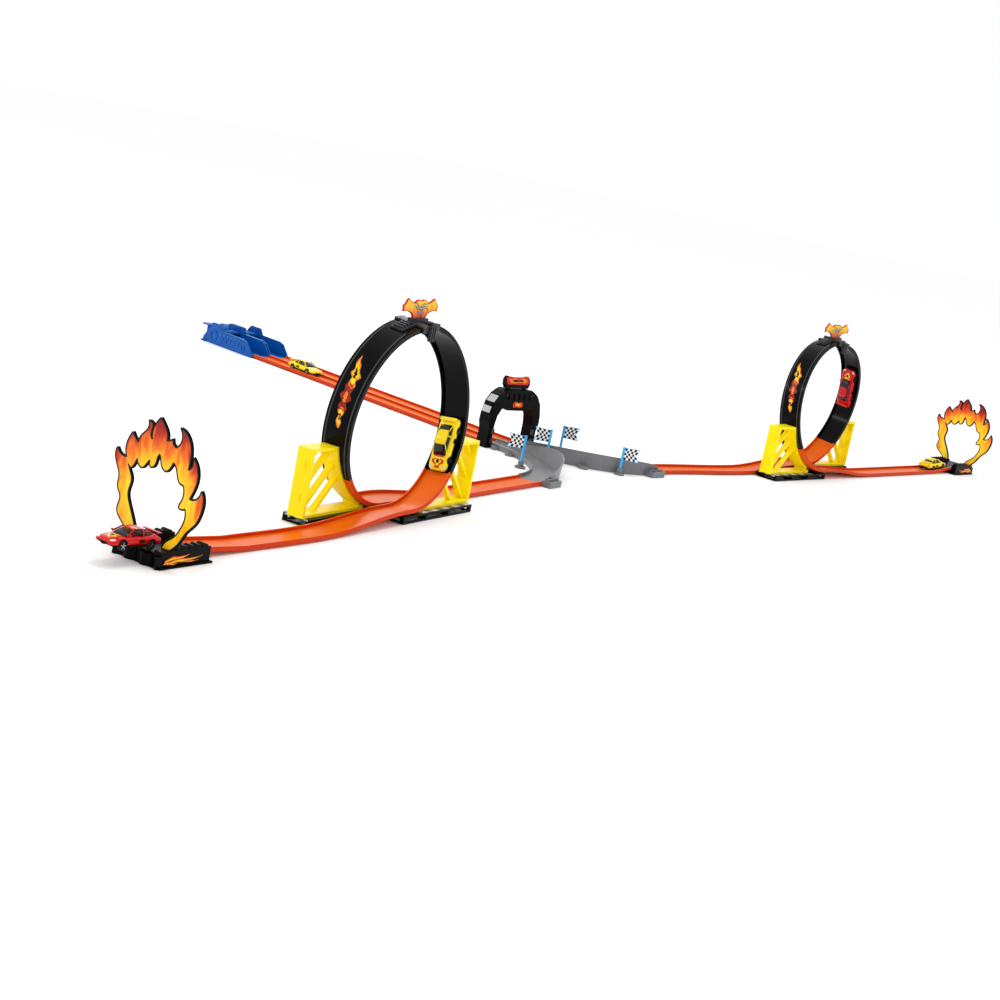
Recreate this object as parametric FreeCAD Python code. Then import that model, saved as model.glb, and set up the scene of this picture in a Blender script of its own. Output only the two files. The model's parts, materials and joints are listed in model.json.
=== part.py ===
"""Launcher-driven toy car track set: two-lane launcher, splitter, two loops and two flame rings.

Millimetres. The working frame has its origin on the floor where the launch lanes meet the
splitter, with -Y the launch direction. Everything is moved at the end so that the origin is
the bottom centre of the whole set.
"""
import FreeCAD, Part
import math
import os

V = FreeCAD.Vector
X_AXIS = V(1, 0, 0)
Y_AXIS = V(0, 1, 0)
Z_AXIS = V(0, 0, 1)

# ---- driving dimensions: track strip ----
LANE_W = 42.0            # outside width of one track strip
FLOOR_T = 1.8            # thickness of the strip's floor
RIM_H = 6.0              # height of the strip over its rims
RIM_T = 2.2              # thickness of one rim
LANE_Z = 2.0             # underside of a strip that lies on its connectors
LANE_GAP = 1.0           # gap between the two launch lanes
LANE_X = (LANE_W + LANE_GAP) / 2
LAUNCH_LEN = 640.0       # splitter to launcher
RUN_Z = LANE_Z + FLOOR_T # surface that the cars run on

# ---- driving dimensions: loops ----
LOOP_R = 125.0           # back of the strip in a loop
LOOP_Z = 12.8            # back of the strip at the bottom of a loop
LANE_SHIFT = 24.0        # entry and exit lanes stand this far each side of the loop's centre
BLACK_FROM = 50.0        # degrees up from the bottom where the black halves begin
SLAB_L = 168.0           # each half of the base reaches this far from the loop's centre
SLAB_BACK = 12.0         # and this far past it
SLAB_W = 42.0
SLAB_Y = 21.0            # middle of a half of the base, on the side of its support
PLINTH_H = 10.6
FOOT_RUN = 185.0         # a strip starts to climb from the floor this far from the centre
LEAN = math.degrees(math.asin(LANE_SHIFT / (2 * LOOP_R)))

# ---- driving dimensions: layout of the set ----
WEST_R, WEST_SWEEP, WEST_START = 200.0, 75.5, -47.0
EAST_R, EAST_SWEEP, EAST_START = 160.0, 94.0, -26.0
WEST_WALL, EAST_WALL = 31.0, 28.0
LEFT_LOOP = V(-613, -380, 0)
LEFT_HEADING = 195.0
RIGHT_LOOP = V(648, -207, 0)
RIGHT_HEADING = 3.0
LEFT_RING = V(-1075, -507, 0)
LEFT_RING_HEADING = 191.0
RIGHT_RING = V(1256, -198, 0)
RIGHT_RING_HEADING = 3.0

# ---- driving dimensions: flame rings and their bases ----
RING_BACK = 64.0         # ramp base behind the ring plane
RING_FRONT = 14.0        # ramp base ahead of the ring plane
RING_BASE_W = 66.0
APPROACH = 76.0          # the track's last stretch climbs as steeply as the base
RAMP_RISE = math.tan(math.radians(4.5))
RING_BASE_H = 21.0
RING_T = 3.0
DOOR_Z = RUN_Z + APPROACH * RAMP_RISE                 # running surface where the base begins
LIP_Z = DOOR_Z + (RING_BACK + RING_FRONT) * RAMP_RISE # and at its far end

# ---- driving dimensions: cars ----
CAR_L_FRONT, CAR_L_BACK = 38.0, 37.0
CAR_HALF_W = 15.5
AXLE_X = 21.5
WHEEL_R = 5.4
WHEEL_W = 4.2
AXLE_R = 0.8
RUNNING = 0.06           # radial clearance of an axle in its bearings
CAR_LIFT = 0.12          # daylight between a wheel and the track

# ---- driving dimensions: launcher ----
LAUNCHER_L = 162.0
LAUNCHER_HALF_W = 47.0
WALL_T = 3.0
WALL_TOP = 29.0
TOWER_TOP = 42.0
RAM_TRAVEL = 26.0
TRIGGER_TRAVEL = 3.0

nodes = {}


# ---------------------------------------------------------------- general shapes
def block(x0, x1, y0, y1, z0, z1):
    return Part.makeBox(x1 - x0, y1 - y0, z1 - z0, V(x0, y0, z0))


def rod(start, direction, radius, length):
    return Part.makeCylinder(radius, length, start, direction)


def wire(points):
    return Part.makePolygon(list(points) + [points[0]])


def prism(points, extrusion):
    return Part.Face(wire(points)).extrude(extrusion)


def prism_across(outline, y0, y1):
    """Outline of (x, z) points, filled from y0 to y1."""
    return prism([V(x, y0, z) for x, z in outline], V(0, y1 - y0, 0))


def fuse(shapes):
    whole = shapes[0].fuse(shapes[1:])
    return whole.removeSplitter()


def placed(shape, origin, heading):
    moved = shape.copy()
    moved.rotate(V(0, 0, 0), Z_AXIS, heading)
    moved.translate(origin)
    return moved


def add(name, *solids):
    nodes[name] = solids[0] if len(solids) == 1 else Part.makeCompound(list(solids))


# ---------------------------------------------------------------- track strip
HALF_W = LANE_W / 2
STRIP = [
    (-HALF_W, 0.0), (HALF_W, 0.0), (HALF_W, RIM_H), (HALF_W - RIM_T, RIM_H),
    (HALF_W - RIM_T, FLOOR_T), (RIM_T - HALF_W, FLOOR_T), (RIM_T - HALF_W, RIM_H), (-HALF_W, RIM_H),
]


def section(origin, across, up, outline=STRIP):
    return wire([origin + across * a + up * b for a, b in outline])


def loft(sections):
    return Part.makeLoft(sections, True, True)


def heading_vector(heading):
    a = math.radians(heading)
    return V(math.cos(a), math.sin(a), 0)


def smooth_step(t):
    t = min(max(t, 0.0), 1.0)
    return t * t * (3 - 2 * t)


def flexible_run(p0, heading0, p1, heading1, count=13):
    """A bendy strip that lies flat from p0 to p1 and keeps the heading at both ends."""
    span = (p1 - p0).Length
    t0 = heading_vector(heading0) * span
    t1 = heading_vector(heading1) * span
    sections = []
    for i in range(count):
        t = i / (count - 1)
        a, b = 2 * t**3 - 3 * t**2 + 1, t**3 - 2 * t**2 + t
        c, d = 3 * t**2 - 2 * t**3, t**3 - t**2
        point = p0 * a + t0 * b + p1 * c + t1 * d
        slope = p0 * (6 * t**2 - 6 * t) + t0 * (3 * t**2 - 4 * t + 1)
        slope = slope + p1 * (6 * t - 6 * t**2) + t1 * (3 * t**2 - 2 * t)
        sections.append(section(point, Z_AXIS.cross(slope).normalize(), Z_AXIS))
    return loft(sections)


# ---------------------------------------------------------------- loops
class LoopHalf:
    """One leaning half of a loop in the loop's own frame: +X is the travel direction.

    way is +1 for the rising half ahead of the centre and -1 for the falling half behind it,
    and lane_y is where its lane meets the floor.
    """

    def __init__(self, way, lane_y):
        self.way = way
        lean = math.radians(LEAN)
        self.bottom = V(0, lane_y, LOOP_Z)
        side = 1 if lane_y > 0 else -1
        self.up = V(0, -side * math.sin(lean), math.cos(lean))
        self.centre = self.bottom + self.up * LOOP_R
        self.axis = X_AXIS.cross(self.up) * way

    def outward(self, angle):
        a = math.radians(angle)
        return X_AXIS * (self.way * math.sin(a)) - self.up * math.cos(a)

    def strip_section(self, angle):
        out = self.outward(angle)
        return section(self.centre + out * LOOP_R, self.axis, out * -1)

    def strip(self, start, end):
        face = Part.Face(self.strip_section(start))
        return face.revolve(self.centre, self.axis, end - start)

    def ring(self, outline, start, end):
        """Outline of (across, radius) points turned about the loop's axis."""
        out = self.outward(start)
        points = [self.centre + self.axis * a + out * r for a, r in outline]
        return Part.Face(wire(points)).revolve(self.centre, self.axis, end - start)

    def foot_run(self):
        """The lane climbs from the floor, beside the other half's base, and rolls over to the lean."""
        level = SLAB_BACK + 2
        sections = []
        for i in range(9):
            share = i / 8
            x = -self.way * (FOOT_RUN + (level - FOOT_RUN) * share)
            share = smooth_step(share)
            up = (Z_AXIS * (1 - share) + self.up * share).normalize()
            point = V(x, self.bottom.y, LANE_Z + (LOOP_Z - LANE_Z) * share)
            sections.append(section(point, X_AXIS.cross(up), up))
        sections.append(section(self.bottom, X_AXIS.cross(self.up), self.up))
        return loft(sections)


def lattice_support(half):
    """Yellow lattice that backs one side of the loop, 24 thick, hollow between its slanted bars."""
    thick, flange, bar = 24.0, 4.0, 5.0
    outer_x, inner_x, top = 174.0, 47.0, 100.0
    y = half.bottom.y * 0.83
    y0, y1 = y - thick / 2, y + thick / 2
    way = half.way

    def mirrored(x0, x1, z0, z1):
        return block(min(way * x0, way * x1), max(way * x0, way * x1), y0, y1, z0, z1)

    def loop_core(radius):
        return rod(half.centre - half.axis * 60, half.axis, radius, 120)

    whole = mirrored(inner_x, outer_x, PLINTH_H, top).cut(loop_core(LOOP_R + 0.6))
    core = mirrored(inner_x + flange, outer_x - flange, PLINTH_H + flange, top - flange)
    core = core.cut(loop_core(LOOP_R + 0.6 + flange))
    bars = []
    for low_x in (150.0, 182.0, 214.0, 246.0):
        length = 150.0
        high_x = low_x + bar * 1.4
        outline = [(low_x, 0), (high_x, 0), (high_x - length, length), (low_x - length, length)]
        bars.append(prism_across([(way * x, z) for x, z in outline], y - 4, y + 4))
    lattice = whole.cut(core.cut(bars))
    solids = [lattice]
    for boss_z in (36.0, 78.0):
        x = outer_x if way > 0 else -outer_x - 1.5
        solids.append(block(x, x + 1.5, y - 3, y + 3, boss_z - 5, boss_z + 5))
    lug = mirrored(inner_x - 9, inner_x, PLINTH_H, PLINTH_H + 6).cut(loop_core(LOOP_R + 0.6))
    solids.append(lug)
    return fuse(solids)


def base_half(half):
    """One half of a loop's base: a slab under its support, with open pockets round its edge."""
    side = 1 if half.bottom.y > 0 else -1
    x0, x1 = sorted((-half.way * SLAB_BACK, half.way * SLAB_L))
    y0, y1 = side * SLAB_Y - SLAB_W / 2, side * SLAB_Y + SLAB_W / 2
    skin, sill = 3.0, 2.5
    slab = block(x0, x1, y0, y1, 0, PLINTH_H)
    cuts = [block(x0 + skin, x1 - skin, y0 + skin, y1 - skin, -1, PLINTH_H - skin)]
    pocket = (SLAB_L + SLAB_BACK - skin) / 3
    for i in range(3):
        start = x0 + skin + i * pocket
        for y in (y0, y1 - skin):
            cuts.append(block(start + 2, start + pocket - 5, y - 1, y + skin + 1, sill, PLINTH_H - skin))
    for x in (x0, x1 - skin):
        cuts.append(block(x - 1, x + skin + 1, y0 + 6, y1 - 6, sill, PLINTH_H - skin))
    ribs = [block(x0 + i * pocket, x0 + i * pocket + 2, y0 + 1, y1 - 1, 0, PLINTH_H - 1) for i in (1, 2)]
    return fuse([slab.cut(cuts)] + ribs)


def flame_plate(outline, thickness):
    """Flat plate in the XZ plane from a closed chain of (x, z) points, smoothed between corners.

    Each entry is a run of points that starts and ends on a sharp corner.
    """
    edges = []
    for run in outline:
        points = [V(x, -thickness / 2, z) for x, z in run]
        if len(points) == 2:
            edges.append(Part.makeLine(points[0], points[1]))
        else:
            curve = Part.BSplineCurve()
            curve.interpolate(points)
            edges.append(curve.toShape())
    return Part.Face(Part.Wire(edges)).extrude(V(0, thickness, 0))


def loop_sign():
    """Flame-shaped sign on top of a loop: two horned wings on a narrow neck."""
    right = [
        [(0, 21), (6, 22.5), (11, 21.5), (16, 18)],
        [(16, 18), (24, 20), (32, 24.5)],
        [(32, 24.5), (34.5, 22.3), (36, 20)],
        [(36, 20), (38, 17.5), (42, 14.5), (41, 11), (42.5, 8)],
        [(42.5, 8), (33, 8.8), (22, 6)],
        [(22, 6), (16.5, 2), (15, -5)],
        [(15, -5), (0, -5)],
    ]
    left = [[(-x, z) for x, z in reversed(run)] for run in reversed(right)]
    return flame_plate(right + left, 2.4)


def top_clip(rising, falling):
    """Grey toothed saddle that joins the two black halves at the top."""
    outer, wall = LOOP_R + 0.15, 2.4
    half_clip = HALF_W + 0.2
    saddle_outline = [
        (-half_clip - 2.4, LOOP_R - 7), (-half_clip, LOOP_R - 7), (-half_clip, outer),
        (half_clip, outer), (half_clip, LOOP_R - 7), (half_clip + 2.4, LOOP_R - 7),
        (half_clip + 2.4, outer + wall), (-half_clip - 2.4, outer + wall),
    ]
    flat_outline = [(-10, outer), (10, outer), (10, outer + wall), (-10, outer + wall)]
    pieces = [rising.ring(saddle_outline, 171, 179.99), falling.ring(saddle_outline, 171, 179.99)]
    pieces += [rising.ring(flat_outline, 158, 171), falling.ring(flat_outline, 158, 171)]
    for half in (rising, falling):
        for i in range(4):
            start = 159.5 + i * 2.8
            low, high = outer + wall - 0.3, outer + wall + 2.2
            pieces.append(half.ring([(-7, low), (7, low), (7, high), (-7, high)], start, start + 1.2))
    top_z = (rising.centre + rising.up * (outer + wall)).z
    pieces.append(block(-18, 18, -5, 5, top_z - 1.6, top_z + 4))
    return fuse(pieces), top_z


def rib_tab(y):
    """Ribbed finger tab that hangs from the clip over the strip's near edge."""
    tab = block(-7, 7, y - 1.2, y + 1.2, 0, 20)
    ribs = [block(x - 1, x + 1, y - 2.4, y + 2.4, 1, 19) for x in (-5, 0, 5)]
    return fuse([tab] + ribs)


def ring_gate(ring, before):
    """Point on the floor line of a track this far before a ring's ramp base, and the heading there."""
    place, heading = ring
    point = place - heading_vector(heading) * (RING_BACK + 0.4 + before)
    return V(point.x, point.y, LANE_Z), heading


def build_loop(name, origin, heading, entry_side, near_side, start, ring):
    """All pieces of one loop; entry_side is +1 if the entry lane is left of the travel direction.

    start is the point and heading where its entry track begins, ring the place and heading of the
    flame ring that its exit track leads to.
    """
    rising = LoopHalf(1, entry_side * LANE_SHIFT)
    falling = LoopHalf(-1, -entry_side * LANE_SHIFT)

    def add_placed(node, *solids):
        add(node, *[placed(s, origin, heading) for s in solids])

    add_placed(name + "_loop_rising_half", rising.strip(BLACK_FROM, 180))
    add_placed(name + "_loop_falling_half", falling.strip(BLACK_FROM, 180))
    clip, top_z = top_clip(rising, falling)
    tab = rib_tab(near_side * (HALF_W + 3.8))
    tab.translate(V(0, 0, top_z - 22))
    sign = loop_sign()
    sign.translate(V(0, 0, top_z + 5.0))
    slot = block(-15.2, 15.2, -1.3, 1.3, top_z, top_z + 10)
    add_placed(name + "_loop_clip", fuse([clip, tab]).cut(slot))
    add_placed(name + "_loop_sign", sign)
    add_placed(name + "_loop_supports", lattice_support(rising), lattice_support(falling))
    waist = block(-SLAB_BACK, SLAB_BACK, -16, 16, 0, PLINTH_H)
    add_placed(name + "_loop_base", fuse([base_half(rising), base_half(falling), waist]))

    def lane_end(half):
        end = V(-half.way * FOOT_RUN, half.bottom.y, LANE_Z)
        return placed(Part.Vertex(end), origin, heading).Point

    def lane_on_base(half):
        return placed(fuse([half.foot_run(), half.strip(0, BLACK_FROM - 0.1)]), origin, heading)

    entry = flexible_run(start[0], start[1], lane_end(rising), heading)
    add(name + "_entry_track", fuse([entry, lane_on_base(rising)]))
    climb_start, ring_heading = ring_gate(ring, APPROACH)
    climb_end, _ = ring_gate(ring, 0)
    climb_end.z += APPROACH * RAMP_RISE
    across = Z_AXIS.cross(heading_vector(ring_heading))
    climb = loft([section(point, across, Z_AXIS) for point in (climb_start, climb_end)])
    leaving = flexible_run(lane_end(falling), heading, climb_start, ring_heading)
    add(name + "_exit_track", fuse([lane_on_base(falling), leaving, climb]))
    return rising, falling


# ---------------------------------------------------------------- splitter and launch lanes
def banked_outline(height):
    """Cross-section of a banked curve: low inner rim, level floor and an outer wall that leans out."""
    lean = 0.18 * (height - RIM_H - LANE_Z)
    return [
        (-HALF_W - 2.2, 0), (HALF_W + 2.6, 0), (HALF_W + 2.4 + lean, height), (HALF_W + 0.6 + lean, height),
        (HALF_W - 6, RUN_Z), (-HALF_W, RUN_Z), (-HALF_W, RUN_Z + 5.2), (-HALF_W - 2.2, RUN_Z + 5.2),
    ]


def banked_curve(side, radius, sweep, start_y, wall, fullness, count=29):
    """Curve that turns from the launch direction; side is -1 for west and +1 for east.

    The outer wall swells to its full height along the curve, the sooner the smaller fullness is.
    """
    centre = V(side * (LANE_X + radius), start_y, 0)
    sections = []
    for i in range(count):
        t = i / (count - 1)
        a = math.radians(sweep * t)
        out = V(-side * math.cos(a), -math.sin(a), 0)
        height = 9.0 + (wall - 9.0) * abs(math.sin(math.pi * t)) ** fullness
        sections.append(section(centre + out * radius, out, Z_AXIS, banked_outline(height)))
    return loft(sections)


def curve_end(side, radius, sweep, start_y):
    centre = V(side * (LANE_X + radius), start_y, 0)
    a = math.radians(sweep)
    point = centre + V(-side * math.cos(a), -math.sin(a), 0) * radius
    heading = -90 + side * sweep
    return point, heading


def flag_socket(point, height=11.0):
    """Round bracket with a hole for a flag pole."""
    post = rod(point, Z_AXIS, 5.0, height)
    foot = rod(point, Z_AXIS, 9.0, 3.0)
    return fuse([post, foot]).cut(rod(point + V(0, 0, 3), Z_AXIS, 1.56, height))


def coupling_block(point, heading, side):
    """Ribbed connector block beside the end of a curve."""
    body = block(-30, 6, 0, 15, 0, 10)
    body = body.cut([block(-27, -15, 3, 12, 3, 11), block(-11, 1, 3, 12, 3, 11)])
    rail = block(-31, 7, 6, 8.5, 0, 12.5)
    piece = fuse([body, rail])
    if side < 0:
        piece = piece.mirror(V(0, 0, 0), Y_AXIS)
    return placed(piece, point, heading)


def build_splitter():
    plate = []
    edge = LANE_X + HALF_W
    for side, start in ((-1, WEST_START), (1, EAST_START)):
        outline = banked_outline(9.0)
        plate.append(loft([
            section(V(side * LANE_X, y, 0), V(-side, 0, 0), Z_AXIS, outline) for y in (-0.4, start + 0.3)
        ]))
    tab = rod(V(-edge - 4, -39, 0), Z_AXIS, 6.5, 6).cut(block(-edge, edge, -50, 0, -1, 20))
    middle = block(-2.9, 2.9, EAST_START + 0.3, -0.4, 0, 9)
    nesting = block(0.4, 10, WEST_START - 1, EAST_START + 0.3, -1, 20)
    add("splitter_plate", fuse(plate + [tab, middle]).cut(nesting))

    west = banked_curve(-1, WEST_R, WEST_SWEEP, WEST_START, WEST_WALL, 0.8)
    east = banked_curve(1, EAST_R, EAST_SWEEP, EAST_START, EAST_WALL, 0.35)
    # the west wall stops where the east curve's wall stands, so the two mouldings nest
    west_keep = west.cut(block(1.2, 60, -300, 10, -1, 80))
    east_keep = east.cut(block(-60, 0.8, -300, 10, -1, 80))
    west_end, west_heading = curve_end(-1, WEST_R, WEST_SWEEP, WEST_START)
    east_end, east_heading = curve_end(1, EAST_R, EAST_SWEEP, EAST_START)
    beside = HALF_W + 1.0
    west_out = placed(Part.Vertex(V(-6.6, beside, 0)), west_end, west_heading).Point
    east_out = placed(Part.Vertex(V(-6.6, -beside, 0)), east_end, east_heading).Point
    west_keep = west_keep.Solids[0].cut(east_keep)
    west_tab = rod(V(-52, -80, 0), Z_AXIS, 8, 3.6)
    east_tab = rod(V(46, -162, 0), Z_AXIS, 9, 5)
    add("west_curve", fuse([west_keep, west_tab, coupling_block(west_out, west_heading, 1)]))
    add("east_curve", fuse([east_keep.Solids[0], east_tab, coupling_block(east_out, east_heading, -1)]))
    return (west_end, west_heading), (east_end, east_heading)


def straight_strip(x, y0, y1):
    return loft([section(V(x, y, LANE_Z), X_AXIS, Z_AXIS) for y in (y0, y1)])


def build_launch_lanes():
    seam = LAUNCH_LEN / 2
    for name, x in (("launch_lane_west", -LANE_X), ("launch_lane_east", LANE_X)):
        add(name, straight_strip(x, 0, seam - 0.3), straight_strip(x, seam + 0.3, LAUNCH_LEN))
    tongues = []
    for y in (seam, 96.0, LAUNCH_LEN - 96.0):
        tongues += [block(x - 14, x + 14, y - 22, y + 22, 0, LANE_Z) for x in (-LANE_X, LANE_X)]
    add("lane_connectors", *tongues)


# ---------------------------------------------------------------- gate
def build_gate():
    """Black arch that straddles the two lanes at the splitter."""
    depth0, depth1 = -30.0, -6.0
    leg = [
        (-48, 0), (-48, 40), (-45, 56), (-36, 70), (-38, 98), (-47, 92), (-57, 78), (-62, 58), (-63, 44),
        (-59, 30), (-60, 0),
    ]
    left = prism_across(leg, depth0, depth1)
    panel = prism_across([(-57.5, 78), (-62.5, 60), (-63.7, 60.4), (-58.5, 78.8)], depth0 + 3, depth1 - 3)
    left = fuse([left, panel])
    right = left.mirror(V(0, 0, 0), X_AXIS)
    add("gate_left_leg", left)
    add("gate_right_leg", right)
    beam_outline = [(-36, 70), (-24, 66), (24, 66), (36, 70), (38, 98), (30, 102), (-30, 102), (-38, 98)]
    beam = prism_across(beam_outline, depth0, depth1)
    slots = [block(x - 2, x + 2, depth0 - 1, depth0 + 2, 84, 95) for x in (-26, -13, 0, 13, 26)]
    add("gate_beam", beam.cut(slots))
    right_edge = [(27, 0), (31, 6), (31, 15), (26, 21), (14, 19)]
    sign = prism_across(right_edge + [(-x, z) for x, z in reversed(right_edge)], -3.5, 3.5)
    sign.rotate(V(0, 0, 0), X_AXIS, -8)
    sign.translate(V(0, (depth0 + depth1) / 2, 103))
    ears = [block(x - 4, x + 4, -19.5, -16.5, 98, 106) for x in (-20, 20)]
    add("gate_sign", fuse([sign] + ears).cut(beam))


# ---------------------------------------------------------------- flags
def build_flags():
    """Four flags: light poles in round sockets, each with a swallow-tailed pennant."""
    spots = [
        (V(-104, -155, 0), 50.0, -1), (V(5.5, -112, 0), 50.0, -1),
        (V(92, -65, 0), 46.0, 1), (V(96, -201, 0), 44.0, 1),
    ]
    poles, pennants, sockets = [], [], []
    for point, height, way in spots:
        socket = flag_socket(point).cut([nodes["west_curve"], nodes["east_curve"]])
        sockets.append(max(socket.Solids, key=lambda solid: solid.Volume))
        poles.append(rod(point + V(0, 0, 4), Z_AXIS, 1.5, height))
        top = height + 3.2
        outline = [(1.2, top), (28, top + 1.5), (22.5, top - 10), (28, top - 22), (1.2, top - 21)]
        cloth = prism_across(outline, -0.6, 0.6)
        cloth.rotate(V(0, 0, 0), Z_AXIS, 180 if way < 0 else 0)
        cloth.rotate(V(0, 0, 0), Z_AXIS, -48)
        cloth.translate(point)
        pennants.append(cloth.cut(poles[-1]))
    add("flag_poles", *poles)
    add("flag_pennants", *pennants)
    add("flag_sockets", *sockets)


# ---------------------------------------------------------------- flame rings
def flame_ring():
    """Horseshoe of flames on two feet: (y, z) runs between its sharp tips and valleys."""
    outside = [
        [(31, 19), (38, 27), (53, 44), (51, 57), (57, 68), (57, 79), (63, 92), (67, 104), (65, 110)],
        [(65, 110), (61, 105), (50, 103)],
        [(50, 103), (53, 114), (51, 123), (46, 132)],
        [(46, 132), (42, 127), (36, 123)],
        [(36, 123), (32, 133), (26, 140), (26, 150)],
        [(26, 150), (19, 146), (20, 138), (17, 131)],
        [(17, 131), (18, 139), (16, 147), (9, 157)],
        [(9, 157), (2, 150), (-3, 143), (-4, 135)],
        [(-4, 135), (-8, 136), (-12, 139)],
        [(-12, 139), (-13, 135), (-18, 131)],
        [(-18, 131), (-24, 137), (-25, 144), (-20, 153)],
        [(-20, 153), (-32, 148), (-39, 137), (-41, 124), (-40, 112)],
        [(-40, 112), (-45, 117), (-44, 127)],
        [(-44, 127), (-52, 118), (-55, 106), (-53, 94), (-48, 82)],
        [(-48, 82), (-57, 84), (-63, 95)],
        [(-63, 95), (-68, 84), (-67, 71), (-62, 58), (-51, 45), (-44, 33), (-37, 24), (-31, 19)],
    ]
    inside = [
        [(-20, 19), (-24, 27), (-35, 36), (-42, 47), (-46, 60), (-44, 70)],
        [(-44, 70), (-40, 68), (-35, 69), (-37, 76), (-39, 84), (-36, 94)],
        [(-36, 94), (-31, 95), (-25, 105), (-18, 114)],
        [(-18, 114), (-14, 106), (-9, 102), (-3, 105), (0, 111), (3, 118)],
        [(3, 118), (6, 111), (8, 104), (12, 101), (16, 108)],
        [(16, 108), (21, 101), (26, 97), (31, 99), (34, 105)],
        [(34, 105), (37, 98), (41, 93), (46, 96)],
        [(46, 96), (42, 89), (38, 81), (40, 65), (36, 54), (28, 40), (20, 19)],
    ]
    feet = [[(-31, 19), (-20, 19)], [(20, 19), (31, 19)]]
    return flame_plate(outside + feet[:1] + inside + feet[1:], RING_T)


def ring_base():
    """Black ramp base in the ring's frame: +X is the travel direction and the ring stands at x = 0."""
    half_w = RING_BASE_W / 2
    lane = HALF_W + 0.8
    solids = []
    skirt = block(-RING_BACK - 3, RING_FRONT + 3, -half_w - 3, half_w + 3, 0, 2)
    solids.append(skirt)
    ramp = prism_across(
        [(-RING_BACK, 0), (RING_FRONT, 0), (RING_FRONT, LIP_Z), (-RING_BACK, DOOR_Z)], -lane - 1, lane + 1
    )
    solids.append(ramp)
    for side in (-1, 1):
        y0, y1 = sorted((side * lane, side * half_w))
        solids.append(block(-RING_BACK, RING_FRONT, y0, y1, 0, RING_BASE_H - 2))
        for i in range(5):
            centre = V(-RING_BACK + 9 + i * 10.5, y0, RING_BASE_H - 2.6)
            solids.append(rod(centre, Y_AXIS, 4.4, y1 - y0))
    for y in (-34.0, -12.0, 12.0, 34.0):
        scallop = rod(V(RING_FRONT - 5, y, 0), Z_AXIS, 11.0, LIP_Z - 2)
        solids.append(scallop.common(block(0, 99, -half_w, half_w, 0, 40)))
    base = fuse(solids)
    slot = block(-RING_T / 2 - 0.05, RING_T / 2 + 0.05, -31.2, 31.2, RING_BASE_H - 2.05, 40)
    return base.cut(slot)


def build_ring(name, origin, heading, turned):
    """turned is 90 or -90: which way round the flame plate is put into its slot."""
    plate = flame_ring()
    plate.rotate(V(0, 0, 0), Z_AXIS, turned)
    add(name + "_flame_ring", placed(plate, origin, heading))
    add(name + "_ring_base", placed(ring_base(), origin, heading))


# ---------------------------------------------------------------- cars
def car_shapes():
    """One car about the point on the track between its axles; +X is its nose."""
    lower = prism_across([
        (-CAR_L_BACK, 6), (-CAR_L_BACK, 13), (-33, 15.5), (-16, 16), (12, 16), (31, 13.2),
        (CAR_L_FRONT, 10), (CAR_L_FRONT, 6), (33, 5), (-33, 5),
    ], -CAR_HALF_W, CAR_HALF_W)
    cabin = prism_across([(-22, 15), (-12, 22), (2, 22.6), (16, 15)], -11.5, 11.5)
    body = fuse([lower, cabin])
    wells = []
    for x in (-AXLE_X, AXLE_X):
        for y in (-CAR_HALF_W - 1, CAR_HALF_W - WHEEL_W - 0.9):
            wells.append(rod(V(x, y, WHEEL_R), Y_AXIS, WHEEL_R + 1.0, WHEEL_W + 1.9))
            wells.append(block(x - WHEEL_R - 1, x + WHEEL_R + 1, y, y + WHEEL_W + 1.9, 0, WHEEL_R))
    bearings = [rod(V(x, -20, WHEEL_R), Y_AXIS, AXLE_R + RUNNING, 40) for x in (-AXLE_X, AXLE_X)]
    hollow = [
        block(-30, 30, -8, 8, 4, 11.5), block(-13, 13, -13, 13, 4, 11.5),
        block(-14, 5, -9.5, 9.5, 11, 19.5),
    ]
    body = body.cut(wells + bearings + hollow)
    chassis = block(-31, 31, -9.8, 9.8, 3.4, 5.0).cut(bearings)
    axles = []
    for x in (-AXLE_X, AXLE_X):
        axle = [rod(V(x, -CAR_HALF_W + 0.4, WHEEL_R), Y_AXIS, AXLE_R, 2 * CAR_HALF_W - 0.8)]
        for y in (-CAR_HALF_W + 0.3, CAR_HALF_W - 0.3 - WHEEL_W):
            axle.append(rod(V(x, y, WHEEL_R), Y_AXIS, WHEEL_R, WHEEL_W))
        axles.append(fuse(axle))
    return {"body": body, "chassis": chassis, "rear_axle": axles[0], "front_axle": axles[1]}


CAR = car_shapes()
cars = {}


def add_car(name, placement):
    """Adds one car; placement takes the car's own frame to the working frame."""
    cars[name] = placement
    for part, shape in CAR.items():
        moved = shape.copy()
        moved.Placement = placement
        nodes[name + "_" + part] = Part.makeSolid(moved.Shells[0]) if len(moved.Solids) == 1 else moved


def car_on_floor(point, heading, pitch=0.0):
    turn = FreeCAD.Rotation(Z_AXIS, heading).multiply(FreeCAD.Rotation(Y_AXIS, -pitch))
    return FreeCAD.Placement(point, turn)


def car_in_loop(half, angle, origin, heading):
    """Car on the inside of a loop half, nose along the travel direction."""
    run_r = LOOP_R - FLOOR_T
    wheel_line = math.sqrt((run_r - WHEEL_R) ** 2 - AXLE_X**2)
    out = half.outward(angle)
    point = half.centre + out * (wheel_line + WHEEL_R - CAR_LIFT)
    up = out * -1
    nose = half.axis.cross(out) * half.way
    left = up.cross(nose)
    turn = FreeCAD.Rotation(nose, left, up, "XYZ")
    local = FreeCAD.Placement(point, turn)
    frame = FreeCAD.Placement(origin, FreeCAD.Rotation(Z_AXIS, heading))
    return frame.multiply(local)


# ---------------------------------------------------------------- launcher
def wall_outline(front, tower_from, tower_to):
    """Side outline (y, z) of one launcher wall, measured back from the launcher's front."""
    return [
        (front, 0), (front, 5), (front + 20, WALL_TOP - 3), (front + 24, WALL_TOP - 1),
        (tower_from - 9, WALL_TOP + 1), (tower_from, TOWER_TOP), (tower_to, TOWER_TOP),
        (LAUNCHER_L - 2, 9), (LAUNCHER_L - 2, 0),
    ]


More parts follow.
